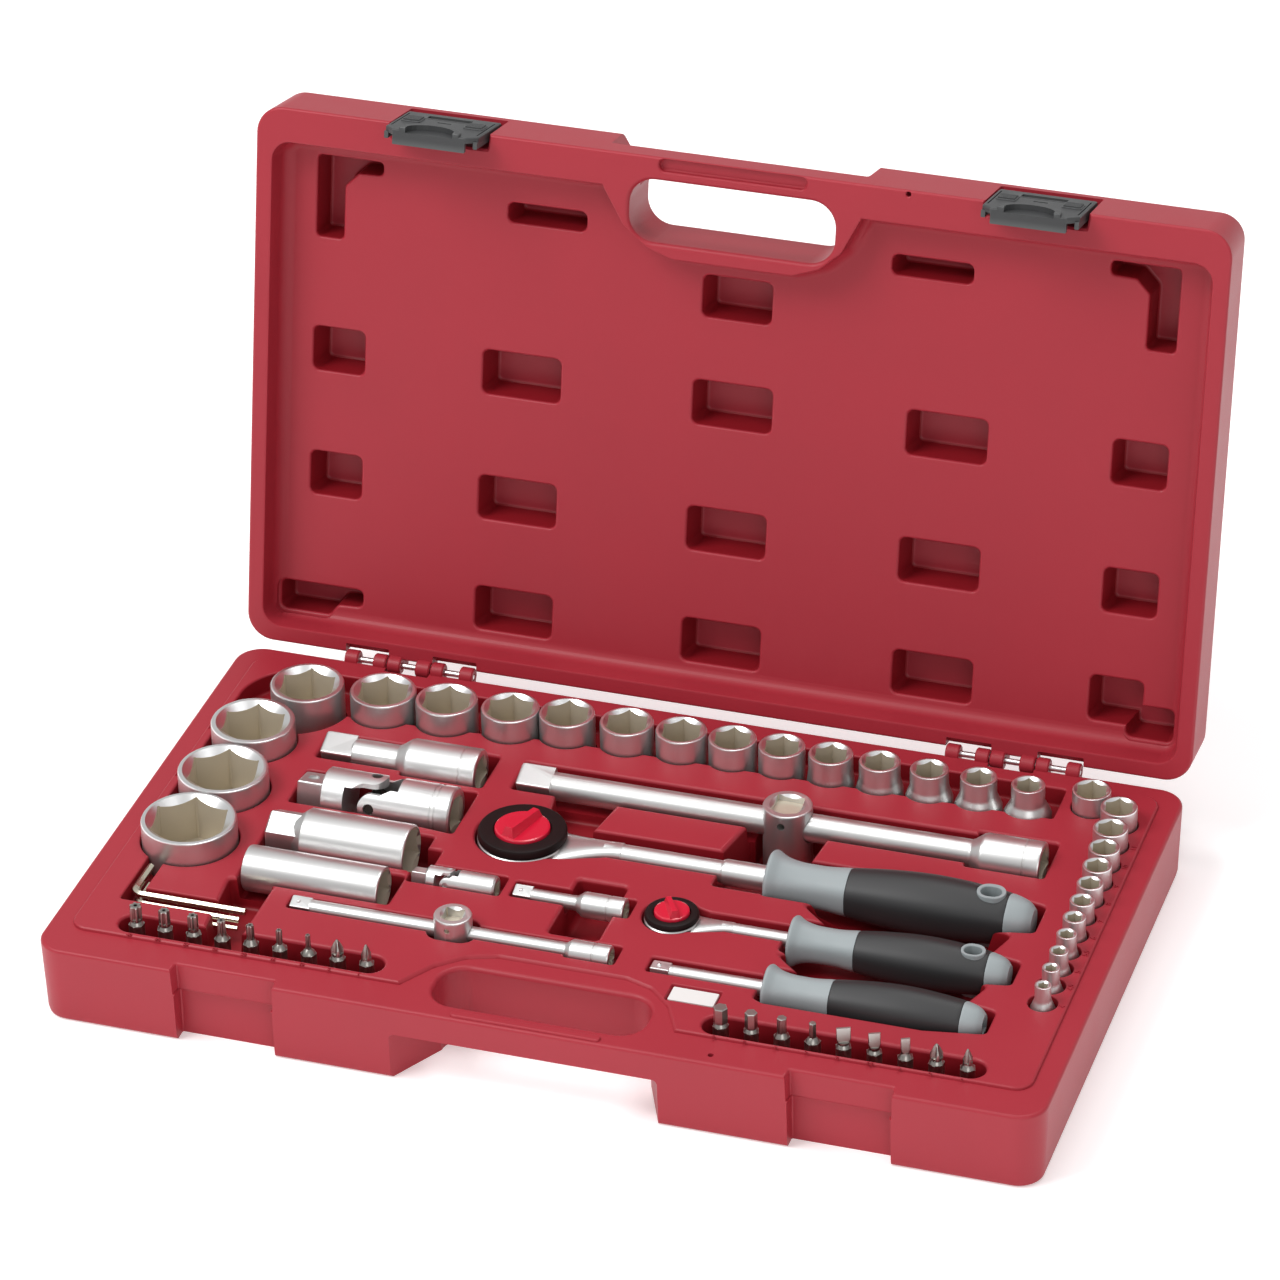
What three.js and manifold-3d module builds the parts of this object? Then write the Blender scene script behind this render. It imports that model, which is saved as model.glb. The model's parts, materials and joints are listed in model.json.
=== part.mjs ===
// Socket wrench set in a blow-moulded case: half-inch and quarter-inch drive tools in a red double-wall case.
// Millimetres, +Z up, +X along the long side, -Y to the front (latch and handle side).
// The origin is the middle of the underside of the case base.
import * as THREE from 'three';
import Module from 'manifold-3d';

const wasm = await Module();
wasm.setup();

// ---- driving dimensions ----
const CASE_W = 458;
const CASE_D = 262;
const BASE_H = 38;
const LID_T = 34;
const PLATFORM_H = 1.5;
const CORNER_R = 13;
const OPEN_ANGLE = 101;
const RIM_GAP = 0.3;
const LATCH_REST = 3;
const HINGE_Y = 133.4;
const HINGE_X = 146.5;
const KNUCKLE_R = 4.2;
const PIN_R = 1.5;
const LATCH_X = [-140, 140];
const LATCH_W = 44.6;
const BAY_W = 46;
const BAY_IN = 6;
const BAY_IN_LOW = 8.5;
const LEDGE_Z = 25;
const LATCH_PIVOT_Y = -127.6;
const LATCH_PIVOT_Z = 58;
const GRIP_T = 14;
const GRIP_SPACE_Z = 24;
const PANEL_IN = 14.5;
const POCKET_IN = 32;
const POCKET_ROWS = [-12.6, 49, 104.2];
const AXIS_Z = 38;
const TOP = BASE_H + PLATFORM_H;
const FRONT = -CASE_D / 2;
const GAP = 0.8;
const LUG_EYE = 5.3;
const JOINT_TILT = 78;
const SQUARE_SPIN = 20;

// half-inch sockets: size, x, y, outer diameter, length, drive-end diameter
const HALF_SOCKETS = [
  [32, -192.3, -33.2, 43.5, 44, 34],
  [30, -192.5, 9.8, 41.5, 44, 32],
  [27, -193.8, 51.4, 39, 42, 30],
  [24, -181.1, 88.9, 34.5, 40, 28],
  [22, -145, 92.8, 31, 40, 26],
  [21, -114.1, 93.5, 29, 39, 25],
  [20, -83.5, 95.1, 27.2, 38, 24],
  [19, -56.9, 98, 26, 38, 24],
  [18, -28.1, 98.6, 25, 38, 24],
  [17, -1.9, 98.8, 23.8, 38, 23.6],
  [16, 22.6, 99, 22.3, 38, 22.3],
  [15, 46.1, 99, 21.6, 38, 21.6],
  [14, 69.4, 99, 20.5, 38, 22],
  [13, 92.6, 99, 19, 38, 22],
  [12, 116, 99, 17.8, 38, 22],
  [11, 139.1, 99, 16.8, 38, 22],
  [10, 162.2, 99, 15.4, 38, 22],
];
const HALF_TOP_Z = 50.5;
const HALF_FLARE_TOP_Z = 39;

// quarter-inch sockets: size, x, y, outer diameter, length, drive-end diameter
const QUARTER_SOCKETS = [
  ['13', 190.2, 105, 17.6, 25, 14],
  ['12', 205.4, 95, 16.8, 25, 13.4],
  ['11', 205.9, 77.4, 15.8, 25, 13],
  ['10', 207, 61.4, 14.2, 25, 12.6],
  ['09', 207.6, 46.6, 13.2, 25, 12.2],
  ['08', 208, 32.2, 11.8, 25, 12],
  ['07', 208, 18.2, 11, 25, 12],
  ['06', 208, 4.6, 10.2, 25, 12],
  ['05_5', 208, -8.8, 9, 25, 12],
  ['05', 208, -22.2, 8.4, 25, 12],
  ['04_5', 208, -35.6, 7.8, 25, 12],
  ['04', 208, -49.2, 7.2, 25, 12],
];
const QUARTER_TOP_Z = 49;

// tools that lie down: axis height and the line of each tool
const EXT_HALF = { x0: -160.5, x1: -84.5, y: 55.8, r: 7.2, R: 11.5 };
const UJ_HALF = { x0: -159.5, x1: -84.5, y: 21.5, R: 12.2 };
const PLUG_21 = { x0: -160, x1: -93, y: -14.8, R: 13.2, r: 10.2 };
const PLUG_16 = { x0: -159.5, x1: -95, y: -45.7, R: 10.6 };
const BAR_HALF = { x0: -65.5, x1: 181, y: 55.5, r: 6.5, R: 10.6, head: 62, headR: 11.4 };
const RATCHET_HALF = { head: -49.5, y: 12, headR: 20.6, end: 188, collar: 67, grip: 104, R: 14.7 };
const RATCHET_QUARTER = { head: 34.7, y: -31.1, headR: 12.4, end: 188.5, collar: 90, grip: 120, R: 12.3 };
const SPINNER = { x0: 37.5, y: -69.5, end: 187.5, collar: 90, grip: 120, R: 12, r: 3.5 };
const BAR_QUARTER = { x0: -130.5, x1: 18.5, y: -67.7, r: 3.6, R: 5.6, head: -54.6, headR: 8.6 };
const UJ_QUARTER = { x0: -86.5, x1: -47, y: -30.8, R: 5.8 };
const EXT_QUARTER = { x0: -38.5, x1: 13.5, y: -31.5, r: 3.4, R: 5.9 };
const BITS_LEFT = { x0: -190.3, pitch: 13.5, y: -103, tip: 49 };
const BITS_RIGHT = { x0: 80, pitch: 13.7, y: -104.2, tip: 49 };

const RED = 0xb23a45;
const STEEL = 0xc4c6c8;
const DARK = 0x4a4542;
const BLACK = 0x2c2c2d;
const GREY = 0x5a5b5d;
const DIAL_RED = 0xc62038;
const NICKEL = 0xd8cfae;

const group = new THREE.Group();
group.name = 'socket_wrench_set';

// ---- helpers ----
function toManifold(geometry) {
  const pos = geometry.getAttribute('position');
  const index = geometry.getIndex();
  const count = index ? index.count : pos.count;
  const seen = new Map();
  const verts = [];
  const remap = [];
  for (let i = 0; i < pos.count; i += 1) {
    const p = [pos.getX(i), pos.getY(i), pos.getZ(i)];
    const key = p.map((v) => Math.round(v * 1e4)).join(',');
    if (!seen.has(key)) {
      seen.set(key, verts.length / 3);
      verts.push(...p);
    }
    remap.push(seen.get(key));
  }
  const tris = [];
  for (let i = 0; i < count; i += 3) {
    const t = [0, 1, 2].map((k) => remap[index ? index.getX(i + k) : i + k]);
    if (t[0] !== t[1] && t[1] !== t[2] && t[0] !== t[2]) {
      tris.push(...t);
    }
  }
  const mesh = new wasm.Mesh({
    numProp: 3,
    vertProperties: new Float32Array(verts),
    triVerts: new Uint32Array(tris),
  });
  return new wasm.Manifold(mesh);
}

function fromManifold(solid) {
  const mesh = solid.getMesh();
  const geometry = new THREE.BufferGeometry();
  const flat = new Float32Array(mesh.triVerts.length * 3);
  for (let i = 0; i < mesh.triVerts.length; i += 1) {
    for (let k = 0; k < 3; k += 1) {
      flat[i * 3 + k] = mesh.vertProperties[mesh.triVerts[i] * mesh.numProp + k];
    }
  }
  geometry.setAttribute('position', new THREE.BufferAttribute(flat, 3));
  geometry.computeVertexNormals();
  return geometry;
}

function add(name, solid, color, metalness = 0, roughness = 0.5) {
  const material = new THREE.MeshStandardMaterial({ color, metalness, roughness });
  const mesh = new THREE.Mesh(fromManifold(solid), material);
  mesh.name = name;
  group.add(mesh);
}

// a closed solid through rings of equal point count, each ring counter-clockwise seen from above
function loft(rings) {
  const n = rings[0].length;
  const positions = rings.flat(2);
  const index = [];
  for (let k = 0; k + 1 < rings.length; k += 1) {
    for (let i = 0; i < n; i += 1) {
      const a = k * n + i;
      const b = k * n + (i + 1) % n;
      index.push(a, b, b + n, a, b + n, a + n);
    }
  }
  const cap = (ring) => THREE.ShapeUtils.triangulateShape(ring.map((p) => new THREE.Vector2(p[0], p[1])), []);
  for (const t of cap(rings[0])) {
    index.push(t[2], t[1], t[0]);
  }
  const last = (rings.length - 1) * n;
  for (const t of cap(rings[rings.length - 1])) {
    index.push(last + t[0], last + t[1], last + t[2]);
  }
  const geometry = new THREE.BufferGeometry();
  geometry.setAttribute('position', new THREE.BufferAttribute(new Float32Array(positions), 3));
  geometry.setIndex(index);
  return toManifold(geometry);
}

function roundRect(x0, x1, y0, y1, r, seg = 4) {
  const out = [];
  const corners = [
    [x1 - r, y0 + r, -90],
    [x1 - r, y1 - r, 0],
    [x0 + r, y1 - r, 90],
    [x0 + r, y0 + r, 180],
  ];
  for (const [cx, cy, a0] of corners) {
    for (let i = 0; i <= seg; i += 1) {
      const a = THREE.MathUtils.degToRad(a0 + (90 * i) / seg);
      out.push([cx + r * Math.cos(a), cy + r * Math.sin(a)]);
    }
  }
  return out;
}

// a polygon whose flats touch a circle of radius r, for wells that clear a round body
const around = (cx, cy, r, seg = 14) => circle(cx, cy, r / Math.cos(Math.PI / seg), seg);

function circle(cx, cy, r, seg = 20, turn = 0) {
  const out = [];
  for (let i = 0; i < seg; i += 1) {
    const a = turn + (2 * Math.PI * i) / seg;
    out.push([cx + r * Math.cos(a), cy + r * Math.sin(a)]);
  }
  return out;
}

function ring(outline, z) {
  const area = THREE.ShapeUtils.area(outline.map((p) => new THREE.Vector2(p[0], p[1])));
  const out = area < 0 ? [...outline].reverse() : outline;
  return out.map((p) => [p[0], p[1], z]);
}

const prism = (outline, z0, z1) => loft([ring(outline, z0), ring(outline, z1)]);
const box = (x0, x1, y0, y1, z0, z1) => prism([[x0, y0], [x1, y0], [x1, y1], [x0, y1]], z0, z1);
const taper = (bottom, top, z0, z1) => loft([ring(bottom, z0), ring(top, z1)]);
const union = (list) => list.reduce((a, b) => a.add(b));
const cut = (solid, list) => list.reduce((a, b) => a.subtract(b), solid);

// a turned body: profile of [radius, height] pairs up the Z axis
function turned(profile, seg = 20, turn = 0) {
  return loft(profile.map(([r, z]) => ring(circle(0, 0, r, seg, turn), z)));
}

// lay a Z-axis body along +X, its start at x, on the line y, z
const alongX = (solid, x, y, z) => solid.rotate([0, 90, 0]).translate([x, y, z]);

function squareAt(side, z0, z1) {
  const h = side / 2;
  return box(-h, h, -h, h, z0, z1);
}

function hexAt(flats, z0, z1, turn = Math.PI / 6) {
  return prism(circle(0, 0, flats / Math.sqrt(3), 6, turn), z0, z1);
}

// ---- case base ----
function caseBase() {
  const o = (inset) => {
    return roundRect(-CASE_W / 2 + inset, CASE_W / 2 - inset, FRONT + inset, -FRONT - inset, CORNER_R);
  };
  let body = loft([ring(o(2.2), 0), ring(o(1.2), 3), ring(o(0), BASE_H - 1.2), ring(o(1), BASE_H)]);
  const platform = roundRect(-219, 219, -113, 121, 8);
  body = body.add(taper(platform, roundRect(-218.4, 218.4, -112.4, 120.4, 8), BASE_H - 2, TOP));
  const swerve = [
    [-69, -118], [67, -118], [61, -112], [53.5, -96], [43, -86], [30, -81], [-29, -81], [-42, -86], [-53.5, -96],
    [-63, -112],
  ];
  const bead = prism(roundRect(-35, 33, -129.4, -125.6, 1.8, 2), BASE_H - 2, BASE_H + 1.2);
  body = cut(body, [prism(swerve, BASE_H, TOP + 2)]).add(bead);
  const cuts = [];
  for (const x of LATCH_X) {
    const h = BAY_W / 2;
    cuts.push(box(x - h, x + h, FRONT - 9, FRONT + BAY_IN, LEDGE_Z, TOP + 2));
    cuts.push(box(x - h, x + h, FRONT - 9, FRONT + BAY_IN_LOW, -1, LEDGE_Z));
  }
  // grip: a through opening behind a bar, with the block ends sloping in to it underneath
  cuts.push(prism(roundRect(-49, 48, -121, -92, 12, 4), -1, TOP + 2));
  const under = [[-67, -145], [-63, -131], [-48, -104], [47, -104], [59, -131], [63, -145]];
  cuts.push(prism(under, -1, BASE_H - GRIP_T));
  // rows of sockets: one shallow band with a deep well for each socket
  cuts.push(prism(roundRect(-214.5, -192, -33, 88, 4, 2), 30, TOP + 2));
  cuts.push(prism(around(-187, 88, 27, 16), 30, TOP + 2));
  const band = [[-187, 84], [-135, 84], [-100, 86], [-60, 90], [176, 91], [176, 116], [-187, 115.5]];
  cuts.push(prism(band, 30, TOP + 2));
  for (const [, x, y, od, len, drive] of HALF_SOCKETS) {
    const r = Math.max(od, drive) / 2 + GAP;
    cuts.push(prism(around(x, y, r), HALF_TOP_Z - len - 0.4, TOP + 2));
  }
  for (const [, x, y, od, len, drive] of QUARTER_SOCKETS) {
    const r = Math.max(od, drive) / 2 + 0.6;
    cuts.push(prism(around(x, y, r, 10), QUARTER_TOP_Z - len - 0.4, TOP + 2));
  }
  // channels and wells for the tools that lie down
  const lay = (x0, x1, y, below, above, depth) => {
    cuts.push(box(x0, x1, y - below, y + above, AXIS_Z - depth, TOP + 2));
  };
  lay(EXT_HALF.x0 - 1.5, -117, EXT_HALF.y, 8, 12, 9);
  lay(-120, EXT_HALF.x1 + 4.5, EXT_HALF.y, 12.6, 15, 13);
  const uj = { x0: UJ_HALF.x0 - 1.5, xm: -123, x1: UJ_HALF.x1 + 4.5, y: UJ_HALF.y, h: 13.6, end: 17.8 };
  cuts.push(prism([
    [uj.x0, uj.y - uj.h], [uj.xm, uj.y - uj.h], [uj.x1, uj.y - uj.end], [uj.x1, uj.y + uj.end],
    [uj.xm, uj.y + uj.h], [uj.x0, uj.y + uj.h],
  ], AXIS_Z - 14, TOP + 2));
  lay(PLUG_21.x0 - 1.5, PLUG_21.x1 + 6, PLUG_21.y, 14.4, 14.4, 15);
  lay(PLUG_16.x0 - 1.5, PLUG_16.x1 + 6, PLUG_16.y, 11.8, 12, 12);
  lay(PLUG_21.x1 + 3, -80, -22, 8, 12, 12);
  lay(BAR_HALF.x0 - 1.5, 149, BAR_HALF.y, 8, 14.5, 9);
  lay(147, BAR_HALF.x1 + 3, BAR_HALF.y, 12, 17, 13);
  cuts.push(prism(roundRect(47.8, 82.4, BAR_HALF.y - 12.4, BAR_HALF.y + 12.4, 9, 3), 14.4, TOP + 2));
  cuts.push(prism([[46, 50], [40, 18], [80, 18], [83, 50]], 14.4, TOP + 2));
  cuts.push(prism([[-46, 50], [-40, 14], [-22, 14], [-16, 50]], 24, TOP + 2));
  const neckWell = (p, shank, floor) => {
    const wide = p.headR * 0.62 + 1;
    const x = [p.head + p.headR * 0.3, p.head + p.headR * 2];
    cuts.push(prism([[x[0], p.y - wide - 1.5], [x[1], p.y - shank - 1], [x[1], p.y + shank + 1], [x[0], p.y + wide + 1.5]],
      floor, TOP + 2));
  };
  const rh = RATCHET_HALF;
  cuts.push(prism(around(rh.head, rh.y, rh.headR + 1, 18), 12, TOP + 2));
  cuts.push(prism(around(rh.head, rh.y, 11.5, 12), 5, TOP + 2));
  neckWell(rh, 5, 28);
  cuts.push(box(rh.head, 46, rh.y - 6.4, rh.y + 12.5, 28, TOP + 2));
  cuts.push(box(44, rh.collar, rh.y - 15, rh.y + 12.5, 26, TOP + 2));
  const gripWell = (x0, x1, y, r, lead) => {
    const well = [
      [x0 - 3, y - r * 0.62], [x0 + lead, y - r - 1.4], [x1 - 24, y - r - 1.4], [x1 + 3, y - r * 0.72],
      [x1 + 3, y + r * 0.72], [x1 - 24, y + r + 1.4], [x0 + lead, y + r + 1.4], [x0 - 3, y + r * 0.62],
    ];
    cuts.push(prism(well, AXIS_Z - r - 2.2, TOP + 2));
  };
  gripWell(rh.collar, rh.end, rh.y, rh.R, 4);
  const rq = RATCHET_QUARTER;
  cuts.push(prism(around(rq.head, rq.y, rq.headR + 1, 16), 18, TOP + 2));
  cuts.push(prism(around(rq.head, rq.y, 7.5, 10), 9, TOP + 2));
  neckWell(rq, 3.4, 31);
  cuts.push(box(rq.head, rq.collar, rq.y - 4.6, rq.y + 8, 31, TOP + 2));
  gripWell(rq.collar, rq.end, rq.y, rq.R, 4);
  cuts.push(box(SPINNER.x0 - 1.5, SPINNER.collar, SPINNER.y - 4.6, SPINNER.y + 6.5, 33, TOP + 2));
  gripWell(SPINNER.collar, SPINNER.end, SPINNER.y, SPINNER.R, 4);
  // the walls between the three grips drop to a common finger space
  cuts.push(prism([[86, -4], [104, -20], [176, -20], [182, -2]], GRIP_SPACE_Z, TOP + 2));
  cuts.push(prism([[86, -44], [102, -58], [176, -58], [182, -42]], GRIP_SPACE_Z, TOP + 2));
  const bq = BAR_QUARTER;
  lay(bq.x0 - 1.4, 1, bq.y, 4.6, 5.4, 5);
  lay(-2, bq.x1 + 3, bq.y, 6.4, 8, 7);
  cuts.push(prism(roundRect(bq.head - 11.4, bq.head + 11.4, bq.y - 9.4, bq.y + 9.4, 7, 3), 22.6, TOP + 2));
  lay(UJ_QUARTER.x0 - 1.4, UJ_QUARTER.x1 + 3, UJ_QUARTER.y, 6.8, 8.8, 7);
  lay(EXT_QUARTER.x0 - 1.4, -8, EXT_QUARTER.y, 4.6, 8, 5.5);
  lay(-10, EXT_QUARTER.x1 + 3, EXT_QUARTER.y, 6.8, 8, 7);
  cuts.push(box(-14, 9, -58, -14.5, 22, TOP + 2));
  // hex keys: an L slot round a small island, and the open valley beside it
  cuts.push(box(-205, -196.8, -80.5, -50, 30, TOP + 2));
  cuts.push(box(-205, -150, -86.5, -75.5, 30, TOP + 2));
  cuts.push(prism([[-164, -57], [-143, -57], [-143, -97.5], [-160, -97.5]], 24, TOP + 2));
  // bit slots and the label recess
  for (const b of [BITS_LEFT, BITS_RIGHT]) {
    const end = b.x0 + 8 * b.pitch;
    cuts.push(prism(roundRect(b.x0 - 8, end + 8, b.y - 6.6, b.y + 6.6, 6.5, 4), 26, TOP + 2));
  }
  cuts.push(prism(roundRect(50.5, 73.5, -92.6, -80.4, 1, 1), TOP - 2, TOP + 2));
  // hinges: knuckles on the base and notches for the knuckles of the lid
  const knuckles = [];
  for (const side of [-1, 1]) {
    const c = side * HINGE_X;
    cuts.push(box(c - 11, c + 10.6, 126.6, 140, BASE_H - 6, TOP + 2));
    for (const [k0, k1] of [[-31.8, -25.2], [-17.7, -11.3], [10.9, 17.1], [25.1, 31.7]]) {
      const barrel = alongX(turned([[KNUCKLE_R, 0], [KNUCKLE_R, k1 - k0]], 16), c + k0, HINGE_Y, BASE_H);
      const arm = box(c + k0, c + k1, 127, HINGE_Y + 2.8, BASE_H - 9, BASE_H);
      const hole = alongX(turned([[PIN_R + 0.3, -1], [PIN_R + 0.3, k1 - k0 + 1]], 12), c + k0, HINGE_Y, BASE_H);
      knuckles.push([barrel.add(arm), hole]);
    }
  }
  body = cut(body, cuts);
  for (const [k] of knuckles) {
    body = body.add(k);
  }
  for (const [, hole] of knuckles) {
    body = body.subtract(hole);
  }
  // islands that stand in the open wells
  const island = prism(roundRect(-196, -166.5, -74.5, -52, 3, 2), 22, TOP - 0.3);
  const [, ox, oy, od] = HALF_SOCKETS[0];
  body = body.add(island.subtract(prism(circle(ox, oy, od / 2 + GAP, 24), 0, TOP + 2)));
  return body;
}

// ---- lid, modelled shut on the base and then swung open about the hinge line ----
const swing = (solid, angle) => {
  return solid.translate([0, -HINGE_Y, -BASE_H]).rotate([-angle, 0, 0]).translate([0, HINGE_Y, BASE_H]);
};

function caseLid() {
  const z = BASE_H + RIM_GAP;
  const o = (inset) => {
    return roundRect(-CASE_W / 2 + inset, CASE_W / 2 - inset, FRONT + inset, -FRONT - inset, CORNER_R);
  };
  let lid = loft([ring(o(1), z), ring(o(0), z + 1.2), ring(o(1.2), z + LID_T - 3), ring(o(3), z + LID_T)]);
  const cuts = [];
  // inner space: a rim round a flat panel
  const inner = (inset) => roundRect(-221 + inset, 221 - inset, -114.6 + inset, 123 - inset, 9);
  let space = taper(inner(0), inner(1.6), z - 1, z + PANEL_IN);
  // the wall swerves round the handle opening
  const swerve = [
    [-68, -118], [66, -118], [59, -113.5], [51.5, -97], [41.5, -88], [29, -83], [-28, -83], [-40.5, -88], [-51.5, -97],
    [-61, -113.5],
  ];
  space = space.subtract(prism(swerve, z - 2, z + LID_T));
  cuts.push(space);
  // pockets in the panel, each down to the outer wall
  const pocket = (cx, cy, w, d) => {
    const mouth = roundRect(cx - w / 2, cx + w / 2, cy - d / 2, cy + d / 2, Math.min(3, d * 0.45), 2);
    const r = Math.min(2, (d - 3.2) * 0.4);
    const floor = roundRect(cx - w / 2 + 2.2, cx + w / 2 - 1, cy - d / 2 + 1, cy + d / 2 - 2.2, r, 2);
    cuts.push(taper(mouth, floor, z + PANEL_IN - 1, z + POCKET_IN));
  };
  for (const cy of POCKET_ROWS.slice(0, 2)) {
    pocket(-191.5, cy, 25.5, 21.5);
    pocket(191.5, cy, 25.5, 21.5);
  }
  for (const cx of [-101.7, 0, 101.7]) {
    for (const cy of POCKET_ROWS) {
      pocket(cx, cy, 38, 21.5);
    }
  }
  pocket(0, -64, 33, 20);
  for (const cx of [-92, 90.5]) {
    pocket(cx, -91, 38, 9.5);
  }
  for (const side of [-1, 1]) {
    pocket(side * 197.3, -86.8, 13.5, 39.5);
    pocket(side * 188, -103.2, 32, 6.5);
  }
  pocket(-197, 112.5, 42, 17);
  pocket(188.5, 102, 25, 22);
  pocket(205.2, 111.5, 24, 18);
  // groove on the grip and the opening behind it
  cuts.push(prism(roundRect(-35.5, 34, -130.6, -124.4, 3, 3), z - 1, z + 3));
  cuts.push(prism(roundRect(-49, 48, -120, -90.5, 12, 4), z - 1, z + LID_T + 1));
  const over = [[-67, -145], [-63, -131], [-51, -112], [50, -112], [59, -131], [63, -145]];
  cuts.push(prism(over, z + GRIP_T, z + LID_T + 1));
  // latch bays
  for (const x of LATCH_X) {
    const h = BAY_W / 2;
    cuts.push(box(x - h, x + h, FRONT - 9, FRONT + 7.2, z - 1, z + LID_T - 6));
    cuts.push(box(x - h - 2.2, x + h + 2.2, LATCH_PIVOT_Y - 1.9, LATCH_PIVOT_Y + 1.9,
      LATCH_PIVOT_Z - 1.9, LATCH_PIVOT_Z + 1.9));
  }
  const knuckles = [];
  for (const side of [-1, 1]) {
    const c = side * HINGE_X;
    for (const [n0, n1] of [[-32.6, -11.1], [10.7, 32.4]]) {
      cuts.push(box(c + n0, c + n1, 126.4, 140, z - 1, z + 6.5));
    }
    for (const [k0, k1] of [[-10.7, -4.1], [3.3, 10.3]]) {
      const barrel = alongX(turned([[KNUCKLE_R, 0], [KNUCKLE_R, k1 - k0]], 16), c + k0, HINGE_Y, BASE_H);
      const arm = box(c + k0, c + k1, 127, HINGE_Y + 2.8, z, z + 9);
      const hole = alongX(turned([[PIN_R + 0.3, -1], [PIN_R + 0.3, k1 - k0 + 1]], 12), c + k0, HINGE_Y, BASE_H);
      knuckles.push([barrel.add(arm), hole]);
    }
  }
  lid = cut(lid, cuts);
  for (const [k] of knuckles) {
    lid = lid.add(k);
  }
  for (const [, hole] of knuckles) {
    lid = lid.subtract(hole);
  }
  return swing(lid, OPEN_ANGLE);
}

// ---- latch: a hooked plate on trunnions in the lid bay ----
function latch(x) {
  const h = LATCH_W / 2;
  let body = box(-h, h, FRONT, FRONT + 2.6, LEDGE_Z - 2.6, LATCH_PIVOT_Z);
  body = body.add(alongX(turned([[3.3, 0], [3.3, LATCH_W]], 14), -h, LATCH_PIVOT_Y, LATCH_PIVOT_Z));
  body = body.add(alongX(turned([[1.5, 0], [1.5, BAY_W + 3]], 10), -BAY_W / 2 - 1.5, LATCH_PIVOT_Y, LATCH_PIVOT_Z));
  const hook = box(-h + 3, h - 3, FRONT + 2, FRONT + BAY_IN + 1, LEDGE_Z - 2.6, LEDGE_Z - 0.6);
  body = body.add(hook);
  for (const s of [-1, 1]) {
    body = body.add(box(s * (h - 1) - 1, s * (h - 1) + 1, FRONT + 2, FRONT + 5.4, LEDGE_Z - 2.6, LATCH_PIVOT_Z));
    body = body.add(box(s * 15 - 4.5, s * 15 + 4.5, FRONT - 0.8, FRONT + 1, 40, 48));
  }
  body = body.add(box(-14, 14, FRONT - 1.4, FRONT + 1, LEDGE_Z - 2.6, LEDGE_Z + 1));
  body = body.subtract(box(-9.5, 9.5, FRONT - 3, FRONT + 4, 50.5, 53.5));
  body = body.subtract(box(-3.5, 3.5, FRONT - 3, FRONT + 4, 43, 44.6));
  body = body.translate([0, -LATCH_PIVOT_Y, -LATCH_PIVOT_Z]).rotate([-LATCH_REST, 0, 0]);
  body = body.translate([x, LATCH_PIVOT_Y, LATCH_PIVOT_Z]);
  return swing(body, OPEN_ANGLE);
}

function hingePin(x) {
  return alongX(turned([[PIN_R, 0], [PIN_R, 63]], 12), x - 31.5, HINGE_Y, BASE_H);
}

// ---- sockets ----
function socket(flats, x, y, od, len, drive, topZ, square, seg) {
  const r = od / 2;
  const d = drive / 2;
  const low = topZ - len;
  const split = len - (topZ - HALF_FLARE_TOP_Z);
  const profile = [[d, 0]];
  if (d > r) {
    profile.push([d, split - 3.5], [r, split + 3]);
  } else if (r - d > 0.3) {
    profile.push([d, len * 0.3], [r, len * 0.42]);
  }
  profile.push([r, len - 0.8], [r - 0.8, len]);
  let body = turned(profile, seg, Math.PI / seg);
  body = body.subtract(hexAt(flats, len * 0.48, len + 1));
  body = body.subtract(squareAt(square, -1, len * 0.36));
  return body.translate([x, y, low]);
}

// ---- handles ----
function gripProfile(R, len) {
  return [
    [R * 0.7, 0], [R * 0.86, 1.2], [R * 0.72, len * 0.12], [R * 0.7, len * 0.24], [R * 0.93, len * 0.44],
    [R, len * 0.58], [R * 0.88, len * 0.84], [R * 0.72, len * 0.96], [R * 0.5, len],
  ];
}

function grip(part, boreR, holeX) {
  const len = part.end - part.collar;
  let body = alongX(turned(gripProfile(part.R, len), 14), part.collar, part.y, AXIS_Z - 1);
  body = body.subtract(alongX(turned([[boreR, -1], [boreR, 26]], 16), part.collar, part.y, AXIS_Z - 1));
  if (holeX) {
    body = body.subtract(prism(circle(holeX, part.y, part.R * 0.42, 16), 0, 80));
  }
  return body;
}

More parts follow.
